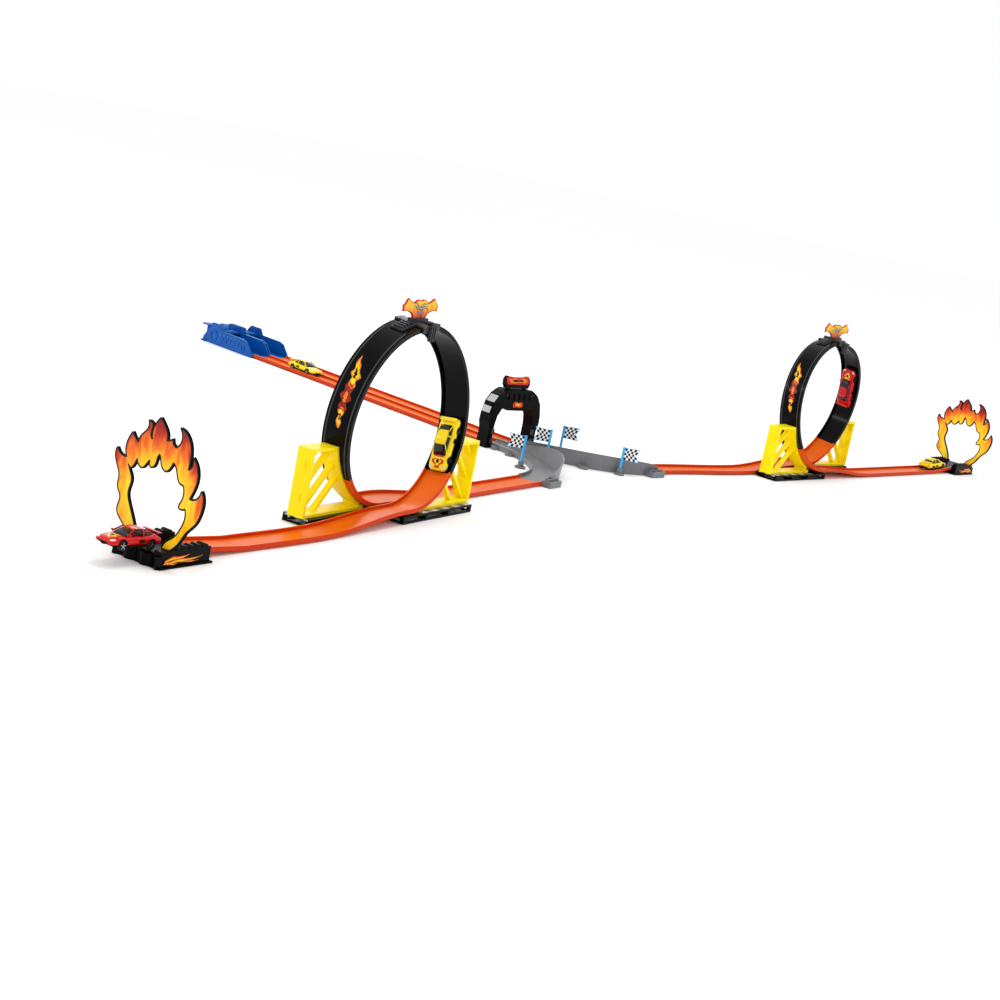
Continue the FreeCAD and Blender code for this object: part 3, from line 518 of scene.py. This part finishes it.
def dress_sign(side, along, left):
    """Printed flames on both faces of a loop's sign, with an abstract swirl across the middle."""
    plate_half, layer = 0.00140, 0.00012
    node = side + "_loop_sign"
    low, high = box_of(node)
    centre = (low + high) / 2
    glow = flame_print(node + "_print", (centre.x, centre.y, high.z + 0.004), 0.008, 0.038, 0.008, 0.22)
    place = axes(Vector((centre.x, centre.y, high.z - 0.0135)), along, -left, UP)
    for way in (-1, 1):
        ending = "a" if way > 0 else "b"
        flat_print(f"{node}_flames_{ending}", node, left * way, layer, glow, 0.0007, RED_PRINT)
    swirl = Build()
    strokes = (
        (-0.019, -0.002, 0.016, 0.006, 0.0022), (-0.014, 0.005, 0.019, 0.0015, 0.0017),
        (-0.010, -0.006, 0.012, -0.002, 0.0014),
    )
    for way in (-1, 1):
        for x0, z0, x1, z1, thick in strokes:
            for grow, lift, pick in ((1.5, 0.0, 0), (0.7, 0.00015, 1)):
                upper, lower = [], []
                for i in range(13):
                    t = i / 12
                    x = x0 + (x1 - x0) * t
                    z = z0 + (z1 - z0) * t + 0.0024 * math.sin(2.6 * math.pi * t)
                    w = thick * grow * math.sin(math.pi * (0.04 + 0.92 * t)) * 0.6
                    y = way * (plate_half + lift)
                    upper.append(Vector((x, y, z + w)))
                    lower.append(Vector((x, y, z - w)))
                swirl.prism(upper + lower[::-1], (0, way * layer, 0), pick)
    swirl.piece(node + "_swirl", [INK, LIGHT_GREY], place=place, slot="flame_sign")


def checker(build, origin, u, v, columns, rows, cell_u, cell_v, thick):
    """A checkered band of thin tiles in two alternating materials."""
    normal = u.cross(v).normalized()
    for i in range(columns):
        for j in range(rows):
            corner = origin + u * (cell_u * i) + v * (cell_v * j)
            quad = [corner, corner + u * cell_u, corner + u * cell_u + v * cell_v, corner + v * cell_v]
            build.prism(quad, normal * thick, (i + j) % 2)


def dress_base(side, along, left):
    """Checkered tiles along the outer edges of both halves of the base."""
    plinth_top, base_end = 0.01065, 0.16805
    tile_long, tile_wide = 0.0144, 0.0085
    origin, _, _ = loop_frame(side)
    entry = -1 if side == "left" else 1
    build = Build()
    for way, lane in ((1, entry), (-1, -entry)):
        floor = Vector((origin.x, origin.y, 0))
        start = floor + along * (way * 0.0360) + left * (lane * 0.0330)
        u, v = along * way, left * lane
        if u.cross(v).z < 0:
            start, v = start + v * tile_wide, -v
        checker(build, start + UP * plinth_top, u, v, 9, 1, tile_long, tile_wide, 0.0003)
        corner = floor + along * (way * base_end) + left * (lane * 0.0030) + UP * 0.0080
        checker(build, corner, left * lane, UP, 5, 1, 0.0072, 0.0022, 0.0002 * way * lane)
    build.piece(side + "_base_checkers", [LIGHT_GREY, PANEL_GREY], slot="base_black")


for loop_side, sticker_way in (("left", 1), ("right", -1)):
    loop_along, loop_left = dress_loop(loop_side, sticker_way)
    dress_sign(loop_side, loop_along, loop_left)
    dress_base(loop_side, loop_along, loop_left)


# ---------------------------------------------------------------- flame rings
def dress_ring(side, car):
    """Flame prints on both faces of a ring and streaks on its base; its car's joint gives its heading."""
    node = side + "_flame_ring"
    travel = Vector(JOINTS[car + "_travel"]["axis"])
    along = Vector((travel.x, travel.y, 0)).normalized()
    left = UP.cross(along)
    low, high = box_of(node)
    centre = (low + high) / 2
    glow = flame_print(node + "_print", (centre.x, centre.y, 0.062), 0.038, 0.092, 0.014)
    for way in (-1, 1):
        ending = "a" if way > 0 else "b"
        flat_print(f"{node}_flames_{ending}", node, along * way, 0.00015, glow, 0.0012, INK)

    # printed flames on the base's side walls: streaks that trail away from the ramp's end
    wall_out = 0.03302
    base = Vector((centre.x, centre.y, 0))
    streaks = (
        (0.009, 0.0075, -0.030, 0.0140, 0.0030), (0.006, 0.0050, -0.052, 0.0105, 0.0026),
        (-0.002, 0.0060, -0.046, 0.0062, 0.0018), (0.010, 0.0050, -0.012, 0.0055, 0.0022),
    )
    art = Build()
    for way in (-1, 1):
        wall = base + left * (way * wall_out)
        for x0, z0, x1, z1, thick in streaks:
            for grow, lift, pick in ((1.0, 0.0, 0), (0.55, 0.0002, 1), (0.25, 0.0004, 2)):
                upper, lower = [], []
                for i in range(13):
                    t = 0.02 + 0.96 * i / 12
                    x = x0 + (x1 - x0) * t
                    z = z0 + (z1 - z0) * t + 0.0011 * math.sin(2 * math.pi * t)
                    w = thick * grow * math.sin(math.pi * t**0.6) * (1 - 0.35 * math.sin(9 * t) ** 2)
                    point = wall + along * x + UP * z + left * (way * lift)
                    upper.append(point + UP * w)
                    lower.append(point - UP * w)
                art.prism(upper + lower[::-1], left * (way * 0.00015), pick)
    art.piece(side + "_ring_base_flames", [RED_PRINT, ORANGE_PRINT, YELLOW_PRINT], slot="flame_print")


dress_ring("left", "jump_car")
dress_ring("right", "finish_car")


# ---------------------------------------------------------------- flags
PENNANT_LONG, PENNANT_NOTCH, PENNANT_TALL = 0.0267, 0.0054, 0.0208
PENNANT_HALF_THICK = 0.0003
PENNANT_HEM = 0.035     # width of the blue edge, as a share of the cloth


def on_floor(point):
    return Vector((point.x, point.y, 0))


def hemmed(i, cells):
    """Share of the way across a grid whose first and last cells are the narrow hem."""
    return min(max((i - 1) / (cells - 2) * (1 - 2 * PENNANT_HEM) + PENNANT_HEM, 0), 1)


def dress_flags():
    """Checkered pennants with a notched end and a slight wave, and sleeves on their poles."""
    poles = [middle_of(group) for group in islands("flag_poles")]
    cloths = [middle_of(group) for group in islands("flag_pennants")]
    vertices, faces, picks = [], [], []
    columns, rows = 14, 12
    sleeves = Build()
    for centre, _, _ in cloths:
        pole, pole_low, pole_high = min(poles, key=lambda p: (on_floor(p[0]) - on_floor(centre)).length)
        top = pole_high.z - 0.0008
        foot = on_floor(pole)
        reach = (on_floor(centre) - foot).normalized()
        across = UP.cross(reach)
        for face_side in (0, 1):
            first = len(vertices)
            for j in range(rows + 1):
                t = hemmed(j, rows)
                length = PENNANT_LONG - PENNANT_NOTCH * (1 - abs(2 * t - 1))
                for i in range(columns + 1):
                    s = hemmed(i, columns)
                    z = (top - PENNANT_TALL - 0.001 * s) * (1 - t) + (top + 0.0015 * s) * t
                    wave = 0.0012 * math.sin(s * 5.6) * s
                    half = PENNANT_HALF_THICK if face_side else -PENNANT_HALF_THICK
                    vertices.append(foot + reach * (0.0012 + length * s) + across * (wave + half) + UP * z)
            for j in range(rows):
                for i in range(columns):
                    k = first + j * (columns + 1) + i
                    quad = [k, k + 1, k + columns + 2, k + columns + 1]
                    faces.append(quad if face_side == 0 else quad[::-1])
                    edge = i in (0, columns - 1) or j in (0, rows - 1)
                    picks.append(2 if edge else ((i - 1) // 2 + (j - 1) // 2) % 2)
        n = (columns + 1) * (rows + 1)
        a, b = len(vertices) - 2 * n, len(vertices) - n
        rim = [j * (columns + 1) for j in range(rows + 1)]
        border = [rim[0] + i for i in range(columns)] + [r + columns for r in rim[:-1]]
        border += [rim[-1] + i for i in range(columns, 0, -1)] + rim[:0:-1]
        for p, q in zip(border, border[1:] + border[:1]):
            faces.append([a + q, a + p, b + p, b + q])
            picks.append(2)
        radius, length = (pole_high.x - pole_low.x) * 0.75, pole_high.z - pole_low.z - 0.0003
        sleeves.disc((pole.x, pole.y, pole_low.z + 0.0005), (0, 0, 1), radius, length, 16)
    prints = [INK, WHITE, SKY_BLUE]
    cloth = new_piece("checkered_pennants", vertices, faces, prints, picks=picks)
    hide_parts("flag_pennants")
    sleeves.piece("flag_pole_sleeves", [SKY_BLUE], slot="pole_blue")


dress_flags()


# ---------------------------------------------------------------- gate
GATE_STICKER = [
    (-0.011, 0.0715), (-0.004, 0.0725), (0.002, 0.0715), (0.011, 0.0725), (0.012, 0.0785),
    (0.006, 0.0815), (0.001, 0.0795), (-0.005, 0.0820), (-0.012, 0.0790),
]
SIGN_PLATE = [
    (-0.025, 0.0062), (0.025, 0.0062), (0.0285, 0.0105), (0.0285, 0.0165), (0.025, 0.0205),
    (0.013, 0.0188), (-0.013, 0.0188), (-0.025, 0.0205), (-0.0285, 0.0165), (-0.0285, 0.0105),
]
SIGN_FLARE = [
    (-0.019, 0.010), (-0.006, 0.0085), (0.004, 0.0105), (0.019, 0.009), (0.022, 0.014),
    (0.012, 0.0175), (0.003, 0.0145), (-0.008, 0.0175), (-0.017, 0.0150), (-0.022, 0.0165),
]
SIGN_MIDDLE, SIGN_TILT = 0.013, -8


def trim_gate(centre, front, back, outer):
    """Raised blocks on the feet, two buttons on the beam, and pale sheets on one shoulder as a painted
    highlight.
    """
    block_half, block_tall = 0.0035, 0.009
    extra = Build()
    for side, way in (("left", -1), ("right", 1)):
        low, high = box_of(f"gate_{side}_leg")
        x = (low.x + high.x) / 2 - way * 0.0005
        for z in (0.008, 0.024):
            corner = (x + block_half, front + 0.0002, z + block_tall)
            extra.box((x - block_half, front - 0.0007, z), corner, 0)
    for x in (-0.030, 0.030):
        extra.disc((centre.x + x, front + 0.0002, 0.0925), (0, -1, 0), 0.0016, 0.0009, 20, 1)
    extra.piece("gate_trim", [PANEL_GREY, CLIP_GREY], slot="gate_black")

    # pale sheets on the sloping shoulder of one leg: painted highlight where the black leg catches the light
    margin = 0.003
    panel = Build()
    for (x0, z0), (x1, z1), shift in (
        ((0.0060, 0.0785), (0.0003, 0.0603), (-0.0006, 0, 0.0002)),
        ((0.0150, 0.0905), (0.0064, 0.0790), (0.0005, 0, -0.0003)),
    ):
        near, far = front + margin, back - margin
        upper, lower = outer + x0, outer + x1
        panel.prism([(upper, near, z0), (lower, near, z1), (lower, far, z1), (upper, far, z0)], shift, 0)
    panel.piece("gate_shoulder_highlight", [LIGHT_GREY], slot="gate_black")


def print_gate(centre, front, top):
    """A flame print on the beam's front and on both faces of the sign."""
    art = Build()
    middle = 0.077
    for grow, lift, pick in ((1.0, 0.0, 1), (0.62, 0.0002, 2), (0.3, 0.0004, 3)):
        points = [(centre.x + x * grow, front - lift, middle + (z - middle) * grow) for x, z in GATE_STICKER]
        art.prism(smooth_loop(points, 3), (0, -0.00025, 0), pick)
    tilt = Matrix.Rotation(math.radians(SIGN_TILT), 4, "X")
    place = Matrix.Translation(Vector((centre.x, centre.y, top + 0.001))) @ tilt
    core = [(x * 0.6, SIGN_MIDDLE + (z - SIGN_MIDDLE) * 0.45) for x, z in SIGN_FLARE]
    layers = (
        (SIGN_PLATE, 0.0038, 1), (smooth_loop(SIGN_FLARE, 3), 0.0040, 2), (smooth_loop(core, 3), 0.0042, 0),
    )
    for way in (-1, 1):
        thick = place.to_3x3() @ Vector((0, way * 0.0002, 0))
        for outline, lift, pick in layers:
            art.prism([place @ Vector((x, way * lift, z)) for x, z in outline], thick, pick)
    art.piece("gate_prints", [INK, RED_PRINT, ORANGE_PRINT, YELLOW_PRINT], slot="gate_sign_red")


def dress_gate():
    low, high = box_of("gate_beam")
    leg_low, leg_high = box_of("gate_left_leg")
    centre = (low + high) / 2
    trim_gate(centre, leg_low.y, leg_high.y, leg_low.x)
    print_gate(centre, leg_low.y, high.z)


dress_gate()


# ---------------------------------------------------------------- launcher
def dress_launcher():
    """Pale edge strips as a painted highlight along the walls' top edges, a row of studs on the side and
    short ribs on the two decks.
    """
    low, high = box_of("launcher_housing")
    near, far, start = low.x, high.x, low.y
    middle = (near + far) / 2
    trim = Build()
    # pale strips on the walls' top edges: painted highlight
    for x in (near + 0.003, far - 0.006, middle - 0.004, middle + 0.0014):
        trim.box((x, start + 0.030, 0.0283), (x + 0.0026, start + 0.088, 0.0303), 0)
    for i in range(6):
        y = start + 0.042 + i * 0.012
        trim.disc((near - 0.0001, y, 0.0238), (-1, 0, 0), 0.0017, 0.0009, 16, 0)
    for side in (-1, 1):
        lane = middle + side * 0.0215
        for i in range(4):
            x = lane - 0.012 + i * 0.008
            trim.box((x - 0.001, start + 0.100, 0.0304), (x + 0.001, start + 0.116, 0.0314), 0)
    bevelled(trim.piece("launcher_trim", [BLUE_LIGHT], slot="launcher_blue"), 0.0003)


dress_launcher()


# ---------------------------------------------------------------- cars
def rounded_section(x, half_w, low, high, top_w=None, power=3.2, count=28):
    """Closed ring of points round a car's body at one station."""
    top_w = top_w or half_w
    ring = []
    for i in range(count):
        a = 2 * math.pi * i / count
        c, s = math.cos(a), math.sin(a)
        y = math.copysign(abs(c) ** (2 / power), c)
        z = math.copysign(abs(s) ** (2 / power), s)
        share = (z + 1) / 2
        ring.append(Vector((x, y * (half_w + (top_w - half_w) * share), low + (high - low) * share)) * MM)
    return ring


def shell_of(table):
    """Closed shell through the sections of a table; each row holds one section's values."""
    stations = [rounded_section(*row) for row in table]
    vertices, faces = [], []
    n = len(stations[0])
    for ring in stations:
        vertices += ring
    for i in range(len(stations) - 1):
        for j in range(n):
            k = i * n
            faces.append([k + j, k + n + j, k + n + (j + 1) % n, k + (j + 1) % n])
    last = (len(stations) - 1) * n
    faces += [list(range(n)), list(range(last + n - 1, last - 1, -1))]
    return vertices, faces


def cut_away(piece, cutters):
    for cutter in cutters:
        modifier = piece.modifiers.new("cut", "BOOLEAN")
        modifier.operation = "DIFFERENCE"
        modifier.solver = "EXACT"
        modifier.object = cutter
    bpy.context.view_layer.update()
    shaped = bpy.data.meshes.new_from_object(piece.evaluated_get(bpy.context.evaluated_depsgraph_get()))
    piece.modifiers.clear()
    piece.data = shaped
    for cutter in cutters:
        bpy.data.objects.remove(cutter)


# x along the car, half width, low, high, half width at the top and squareness, in millimetres
BODY_SECTIONS = (
    (-37.0, 11.5, 7.2, 12.2), (-36.0, 13.6, 6.2, 14.0), (-33.0, 15.0, 5.4, 15.6, 14.0),
    (-27.0, 15.5, 4.9, 16.6, 14.2), (-18.0, 15.5, 4.7, 16.4, 13.8), (-8.0, 15.0, 4.7, 15.8, 13.2),
    (4.0, 14.9, 4.7, 15.4, 13.0), (14.0, 15.3, 4.7, 15.0, 13.4), (23.0, 15.5, 4.8, 14.2, 13.6),
    (30.0, 15.2, 5.0, 12.9, 13.6), (34.5, 14.3, 5.3, 11.6, 12.6), (37.0, 12.6, 5.9, 10.2, 11.0),
    (38.0, 10.0, 6.8, 9.2, 8.8),
)
CABIN_SECTIONS = (
    (-27.0, 9.0, 14.5, 16.2, 7.0, 2.6), (-21.0, 11.4, 14.6, 19.2, 8.4, 2.8),
    (-13.0, 12.0, 14.6, 22.0, 8.8, 3.0), (-4.0, 12.0, 14.6, 22.6, 8.8, 3.0),
    (4.0, 11.8, 14.5, 21.4, 8.6, 3.0), (12.0, 11.4, 14.3, 17.8, 8.8, 2.8), (17.5, 9.6, 14.0, 15.2, 8.0, 2.6),
)
ROOF_SECTIONS = (
    (-17.5, 7.0, 20.0, 20.9, 6.6, 3.0), (-13.0, 8.7, 21.2, 22.5, 8.2, 3.0),
    (-4.0, 8.9, 21.6, 23.0, 8.4, 3.0), (2.0, 8.4, 21.3, 22.2, 8.0, 3.0), (3.6, 7.4, 20.9, 21.6, 7.0, 3.0),
)
PILLARS = (
    ((-25.5, 8.8, 16.3), (-15.5, 8.2, 21.8)), ((-9.5, 12.1, 15.2), (-9.2, 8.7, 22.3)),
    ((3.0, 8.3, 21.9), (15.0, 11.6, 15.2)),
)
HALF_WHEELBASE, WHEEL_R, ARCH_R = 21.5, 5.4, 6.9


def car_body_mesh(paint):
    """Low coupe body with round wheel arches; the paint and dark trim are separate material slots."""
    vertices, faces = shell_of(BODY_SECTIONS)
    body = new_piece("car_body_work", vertices, faces, [paint, BLACK_SATIN], body=None, smooth=True)
    arches = []
    for x in (-HALF_WHEELBASE, HALF_WHEELBASE):
        for side in (-1, 1):
            arch = Build()
            arch.disc((x * MM, side * 9.8 * MM, 5.6 * MM), (0, side, 0), ARCH_R * MM, 9 * MM, 40, 0)
            arches.append(arch.piece("arch", [BLACK_SATIN], body=None))
    cut_away(body, arches)
    mesh = body.data
    bpy.data.objects.remove(body)
    return mesh


def cabin_mesh(paint):
    """Dark greenhouse with a painted roof and pillars."""
    glass, roof = shell_of(CABIN_SECTIONS), shell_of(ROOF_SECTIONS)
    vertices, faces, picks = list(glass[0]), list(glass[1]), [1] * len(glass[1])
    start = len(vertices)
    vertices += roof[0]
    faces += [[i + start for i in face] for face in roof[1]]
    picks += [0] * len(roof[1])
    for side in (-1, 1):
        for ends in PILLARS:
            a, b = (Vector((p[0], side * p[1], p[2])) * MM for p in ends)
            run = (b - a).normalized()
            wide = run.cross(Vector((0, side, 0))).normalized() * 0.9 * MM
            out = Vector((0, side * 0.5, 0.25)) * MM
            k = len(vertices)
            inner = [a - wide, a + wide, b + wide, b - wide]
            vertices += inner + [p + out for p in inner]
            faces += [[k, k + 1, k + 2, k + 3], [k + 7, k + 6, k + 5, k + 4]]
            faces += [[k + i, k + 4 + i, k + 4 + (i + 1) % 4, k + (i + 1) % 4] for i in range(4)]
            picks += [0] * 6
    materials = [paint, GLASS_BLACK]
    cabin = new_piece("cabin_work", vertices, faces, materials, body=None, smooth=True, picks=picks)
    shell = bmesh.new()
    shell.from_mesh(cabin.data)
    bmesh.ops.recalc_face_normals(shell, faces=shell.faces)
    shell.to_mesh(cabin.data)
    shell.free()
    mesh = cabin.data
    bpy.data.objects.remove(cabin)
    return mesh


HEADLAMP = ((32.0, 12.9, 11.2), (35.8, 10.6, 9.9), (36.4, 7.6, 9.3), (34.6, 7.8, 10.5), (31.5, 11.0, 11.9))
HOOD_PRINT = (
    (16.5, -10.5), (22, -3.5), (24, -9.5), (28, -8.5), (31, -3.5), (35, -4), (35, 4), (31, 3.5),
    (28, 8.5), (24, 9.5), (22, 3.5), (16.5, 10.5),
)


def hood_height(x, y):
    """Height just above the sloping, crowned hood, in millimetres."""
    slope = max(x - 14, 0) * 0.09
    return 15.15 - slope - max(x - 23, 0) * 0.12 - y * y * 0.0048 - max(x - 30, 0) * 0.1 + 0.15


def car_trim(decorated):
    """Lamps, grille, side vents, spoiler, mirrors and, on a decorated car, a print on the hood."""
    build = Build()

    def block(x0, x1, y0, y1, z0, z1, pick):
        build.box((x0 * MM, y0 * MM, z0 * MM), (x1 * MM, y1 * MM, z1 * MM), pick)

    block(36.6, 38.3, -6.5, 6.5, 6.2, 8.0, 0)
    for side in (-1, 1):
        y0, y1 = sorted((side * 8.0, side * 12.6))
        lamp = [Vector((x, side * y, z)) * MM for x, y, z in HEADLAMP]
        build.prism(lamp, Vector((0.4, 0, 0.7)) * MM, 1)
        block(-37.2, -36.2, y0 + side * 0.3, y1, 10.8, 12.6, 2)
        y0, y1 = sorted((side * 14.3, side * 15.35))
        block(-9.5, -3.0, y0, y1, 8.8, 12.2, 0)
        block(-13.0, 13.0, y0, y1, 4.6, 6.0, 0)
        block(12.5, 14.2, *sorted((side * 11.2, side * 14.6)), 16.0, 17.6, 3)
        block(-34.0, -32.6, *sorted((side * 8.0, side * 9.0)), 14.5, 18.6, 3)
    block(-36.2, -31.4, -12.6, 12.6, 18.2, 19.2, 3)
    block(-37.4, -36.6, -8.0, 8.0, 6.6, 8.6, 0)
    if decorated:
        for grow, lift, pick in ((1.0, 0.0, 4), (0.62, 0.12, 5), (0.3, 0.24, 0)):
            points = []
            for x, y in HOOD_PRINT:
                x, y = 26 + (x - 26) * grow, y * grow
                points.append(Vector((x, y, hood_height(x, y) + lift)) * MM)
            build.prism(points, Vector((0, 0, 0.12)) * MM, pick)
    return build


def wheel_set(name, body, place, node):
    """Axle with two wheels: tyre, dark rim and five spokes each, turned about the axle."""
    vertices, faces, picks = [], [], []
    profile = [
        (0.8, 0.0), (0.8, 1.2), (3.6, 1.4), (3.9, 0.3), (4.4, 0.0), (5.1, 0.2), (WHEEL_R, 0.9),
        (WHEEL_R, 3.5), (5.1, 4.1), (0.8, 4.2),
    ]
    rim_rows = 3
    sides = 32
    for side in (-1, 1):
        first = len(vertices)
        for k in range(sides):
            a = 2 * math.pi * k / sides
            for radius, depth in profile:
                y = side * (15.2 - depth)
                vertices.append(Vector((radius * math.sin(a), y, radius * math.cos(a))) * MM)
        n = len(profile)
        for k in range(sides):
            for j in range(n):
                a, b = first + k * n, first + ((k + 1) % sides) * n
                quad = [a + j, a + (j + 1) % n, b + (j + 1) % n, b + j]
                faces.append(quad if side > 0 else quad[::-1])
                picks.append(1 if j < rim_rows else 0)
    build = Build()
    build.vertices, build.faces, build.picks = vertices, faces, picks
    for side in (-1, 1):
        for k in range(5):
            a = 2 * math.pi * k / 5
            out = Vector((math.sin(a), 0, math.cos(a)))
            wide = Vector((math.cos(a), 0, -math.sin(a)))
            y = Vector((0, side * 14.3, 0))
            quad = [out - wide * 0.7, out * 4.0 - wide * 0.45, out * 4.0 + wide * 0.45, out + wide * 0.7]
            build.prism([(p + y) * MM for p in quad], Vector((0, side * 0.8, 0)) * MM, 2)
        build.disc(Vector((0, side * 13.9, 0)) * MM, (0, side, 0), 1.3 * MM, 1.4 * MM, 20, 2)
    build.disc(Vector((0, -13, 0)) * MM, (0, 1, 0), 0.8 * MM, 26 * MM, 16, 2)
    made = build.piece(name, [TYRE, GLASS_BLACK, ALLOY], body=body, place=place, slot="wheel_dark")
    for face in made.data.polygons:
        face.use_smooth = face.material_index == 0
    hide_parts(node)


def place_car(name, paint, slot, decorated):
    """Puts a car's pieces where its two axle joints stand."""
    joints = [JOINTS[f"{name}_{end}_axle_roll"] for end in ("rear", "front")]
    rear, front = (Vector(j["pos_m"]) for j in joints)
    nose = (front - rear).normalized()
    left = Vector(joints[0]["axis"]).normalized()
    up = nose.cross(left)
    origin = (rear + front) / 2 - up * WHEEL_R * MM
    place = axes(origin, nose, left, up)
    for part, mesh in (("shell", car_body_mesh(paint)), ("cabin", cabin_mesh(paint))):
        mesh = mesh.copy()
        mesh.transform(place)
        piece = bpy.data.objects.new(f"{name}_{part}", mesh)
        bpy.context.collection.objects.link(piece)
        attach(piece, name)
        if part == "shell":
            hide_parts(name + "_body")
    materials = [BLACK_SATIN, LAMP, LAMP_RED, paint, RED_PRINT, YELLOW_PRINT]
    bevelled(car_trim(decorated).piece(name + "_trim", materials, body=name, place=place, slot=slot), 0.0002)
    for end, joint in zip(("rear", "front"), joints):
        axle = f"{name}_{end}_axle"
        wheel_set(f"{name}_{end}_wheels", axle, axes(Vector(joint["pos_m"]), nose, left, up), axle)


for car, paint, slot, decorated in (
    ("launch_car", CAR_YELLOW, "car_yellow", False), ("left_loop_car", CAR_YELLOW, "car_yellow", True),
    ("right_loop_car", CAR_RED, "car_red", True), ("finish_car", CAR_YELLOW, "car_yellow", False),
    ("jump_car", CAR_RED, "car_red", True),
):
    place_car(car, paint, slot, decorated)


# ---------------------------------------------------------------- floor, light and camera
def splitter_origin():
    """Floor point where the launch lanes meet the splitter, on the line between the lanes."""
    west_low = box_of("launch_lane_west")[0]
    east_high = box_of("launch_lane_east")[1]
    return Vector(((west_low.x + east_high.x) / 2, west_low.y, 0))


def add_floor():
    size = 14.0
    corners = [(-size, -size, 0), (size, -size, 0), (size, size, 0), (-size, size, 0)]
    white = plastic("floor_white", (0.99, 0.99, 0.99), 0.8, 0.005, 0.5, shine=0.0)
    floor = new_piece("floor", corners, [[0, 1, 2, 3]], [white], body=None)
    floor.location.z = -0.0004


def area_light(name, place, target, size, power):
    light = bpy.data.lights.new(name, "AREA")
    light.shape = "RECTANGLE"
    light.size, light.size_y = size
    light.energy = power
    lamp = bpy.data.objects.new(name, light)
    lamp.location = place
    lamp.rotation_euler = (Vector(target) - Vector(place)).to_track_quat("-Z", "Y").to_euler()
    bpy.context.collection.objects.link(lamp)


def add_light():
    world = bpy.data.worlds.new("studio")
    bpy.context.scene.world = world
    world.use_nodes = True
    world.node_tree.nodes["Background"].inputs["Color"].default_value = (1, 1, 1, 1)
    world.node_tree.nodes["Background"].inputs["Strength"].default_value = 1.0
    area_light("key", (-0.6, -1.0, 3.0), (0, 0, 0), (0.8, 0.8), 18)
    area_light("left_strip", (-2.6, 1.6, 1.5), (-0.4, -0.1, 0.1), (2.4, 0.16), 16)
    area_light("right_strip", (1.6, 2.6, 1.7), (0.6, 0, 0.1), (2.4, 0.16), 14)


def add_camera():
    """A camera at the near left, turned about its own line of sight."""
    stand = splitter_origin() + Vector((-2.180, -1.987, 0.524))
    heading, pitch, roll = math.radians(41.87), math.radians(11.893), math.radians(11.41)
    flat = Vector((math.cos(heading), math.sin(heading), 0))
    ahead = flat * math.cos(pitch) - UP * math.sin(pitch)
    level_right = Vector((flat.y, -flat.x, 0))
    level_up = level_right.cross(ahead)
    right = level_right * math.cos(roll) + level_up * math.sin(roll)
    above = level_up * math.cos(roll) - level_right * math.sin(roll)
    lens = bpy.data.cameras.new("camera")
    lens.sensor_width = 36.0
    lens.lens = 62.163
    lens.clip_end = 60
    camera = bpy.data.objects.new("camera", lens)
    camera.matrix_world = axes(stand, right, above, -ahead)
    bpy.context.collection.objects.link(camera)
    bpy.context.scene.camera = camera


add_floor()
add_light()
add_camera()
bpy.context.scene.view_settings.view_transform = "Standard"
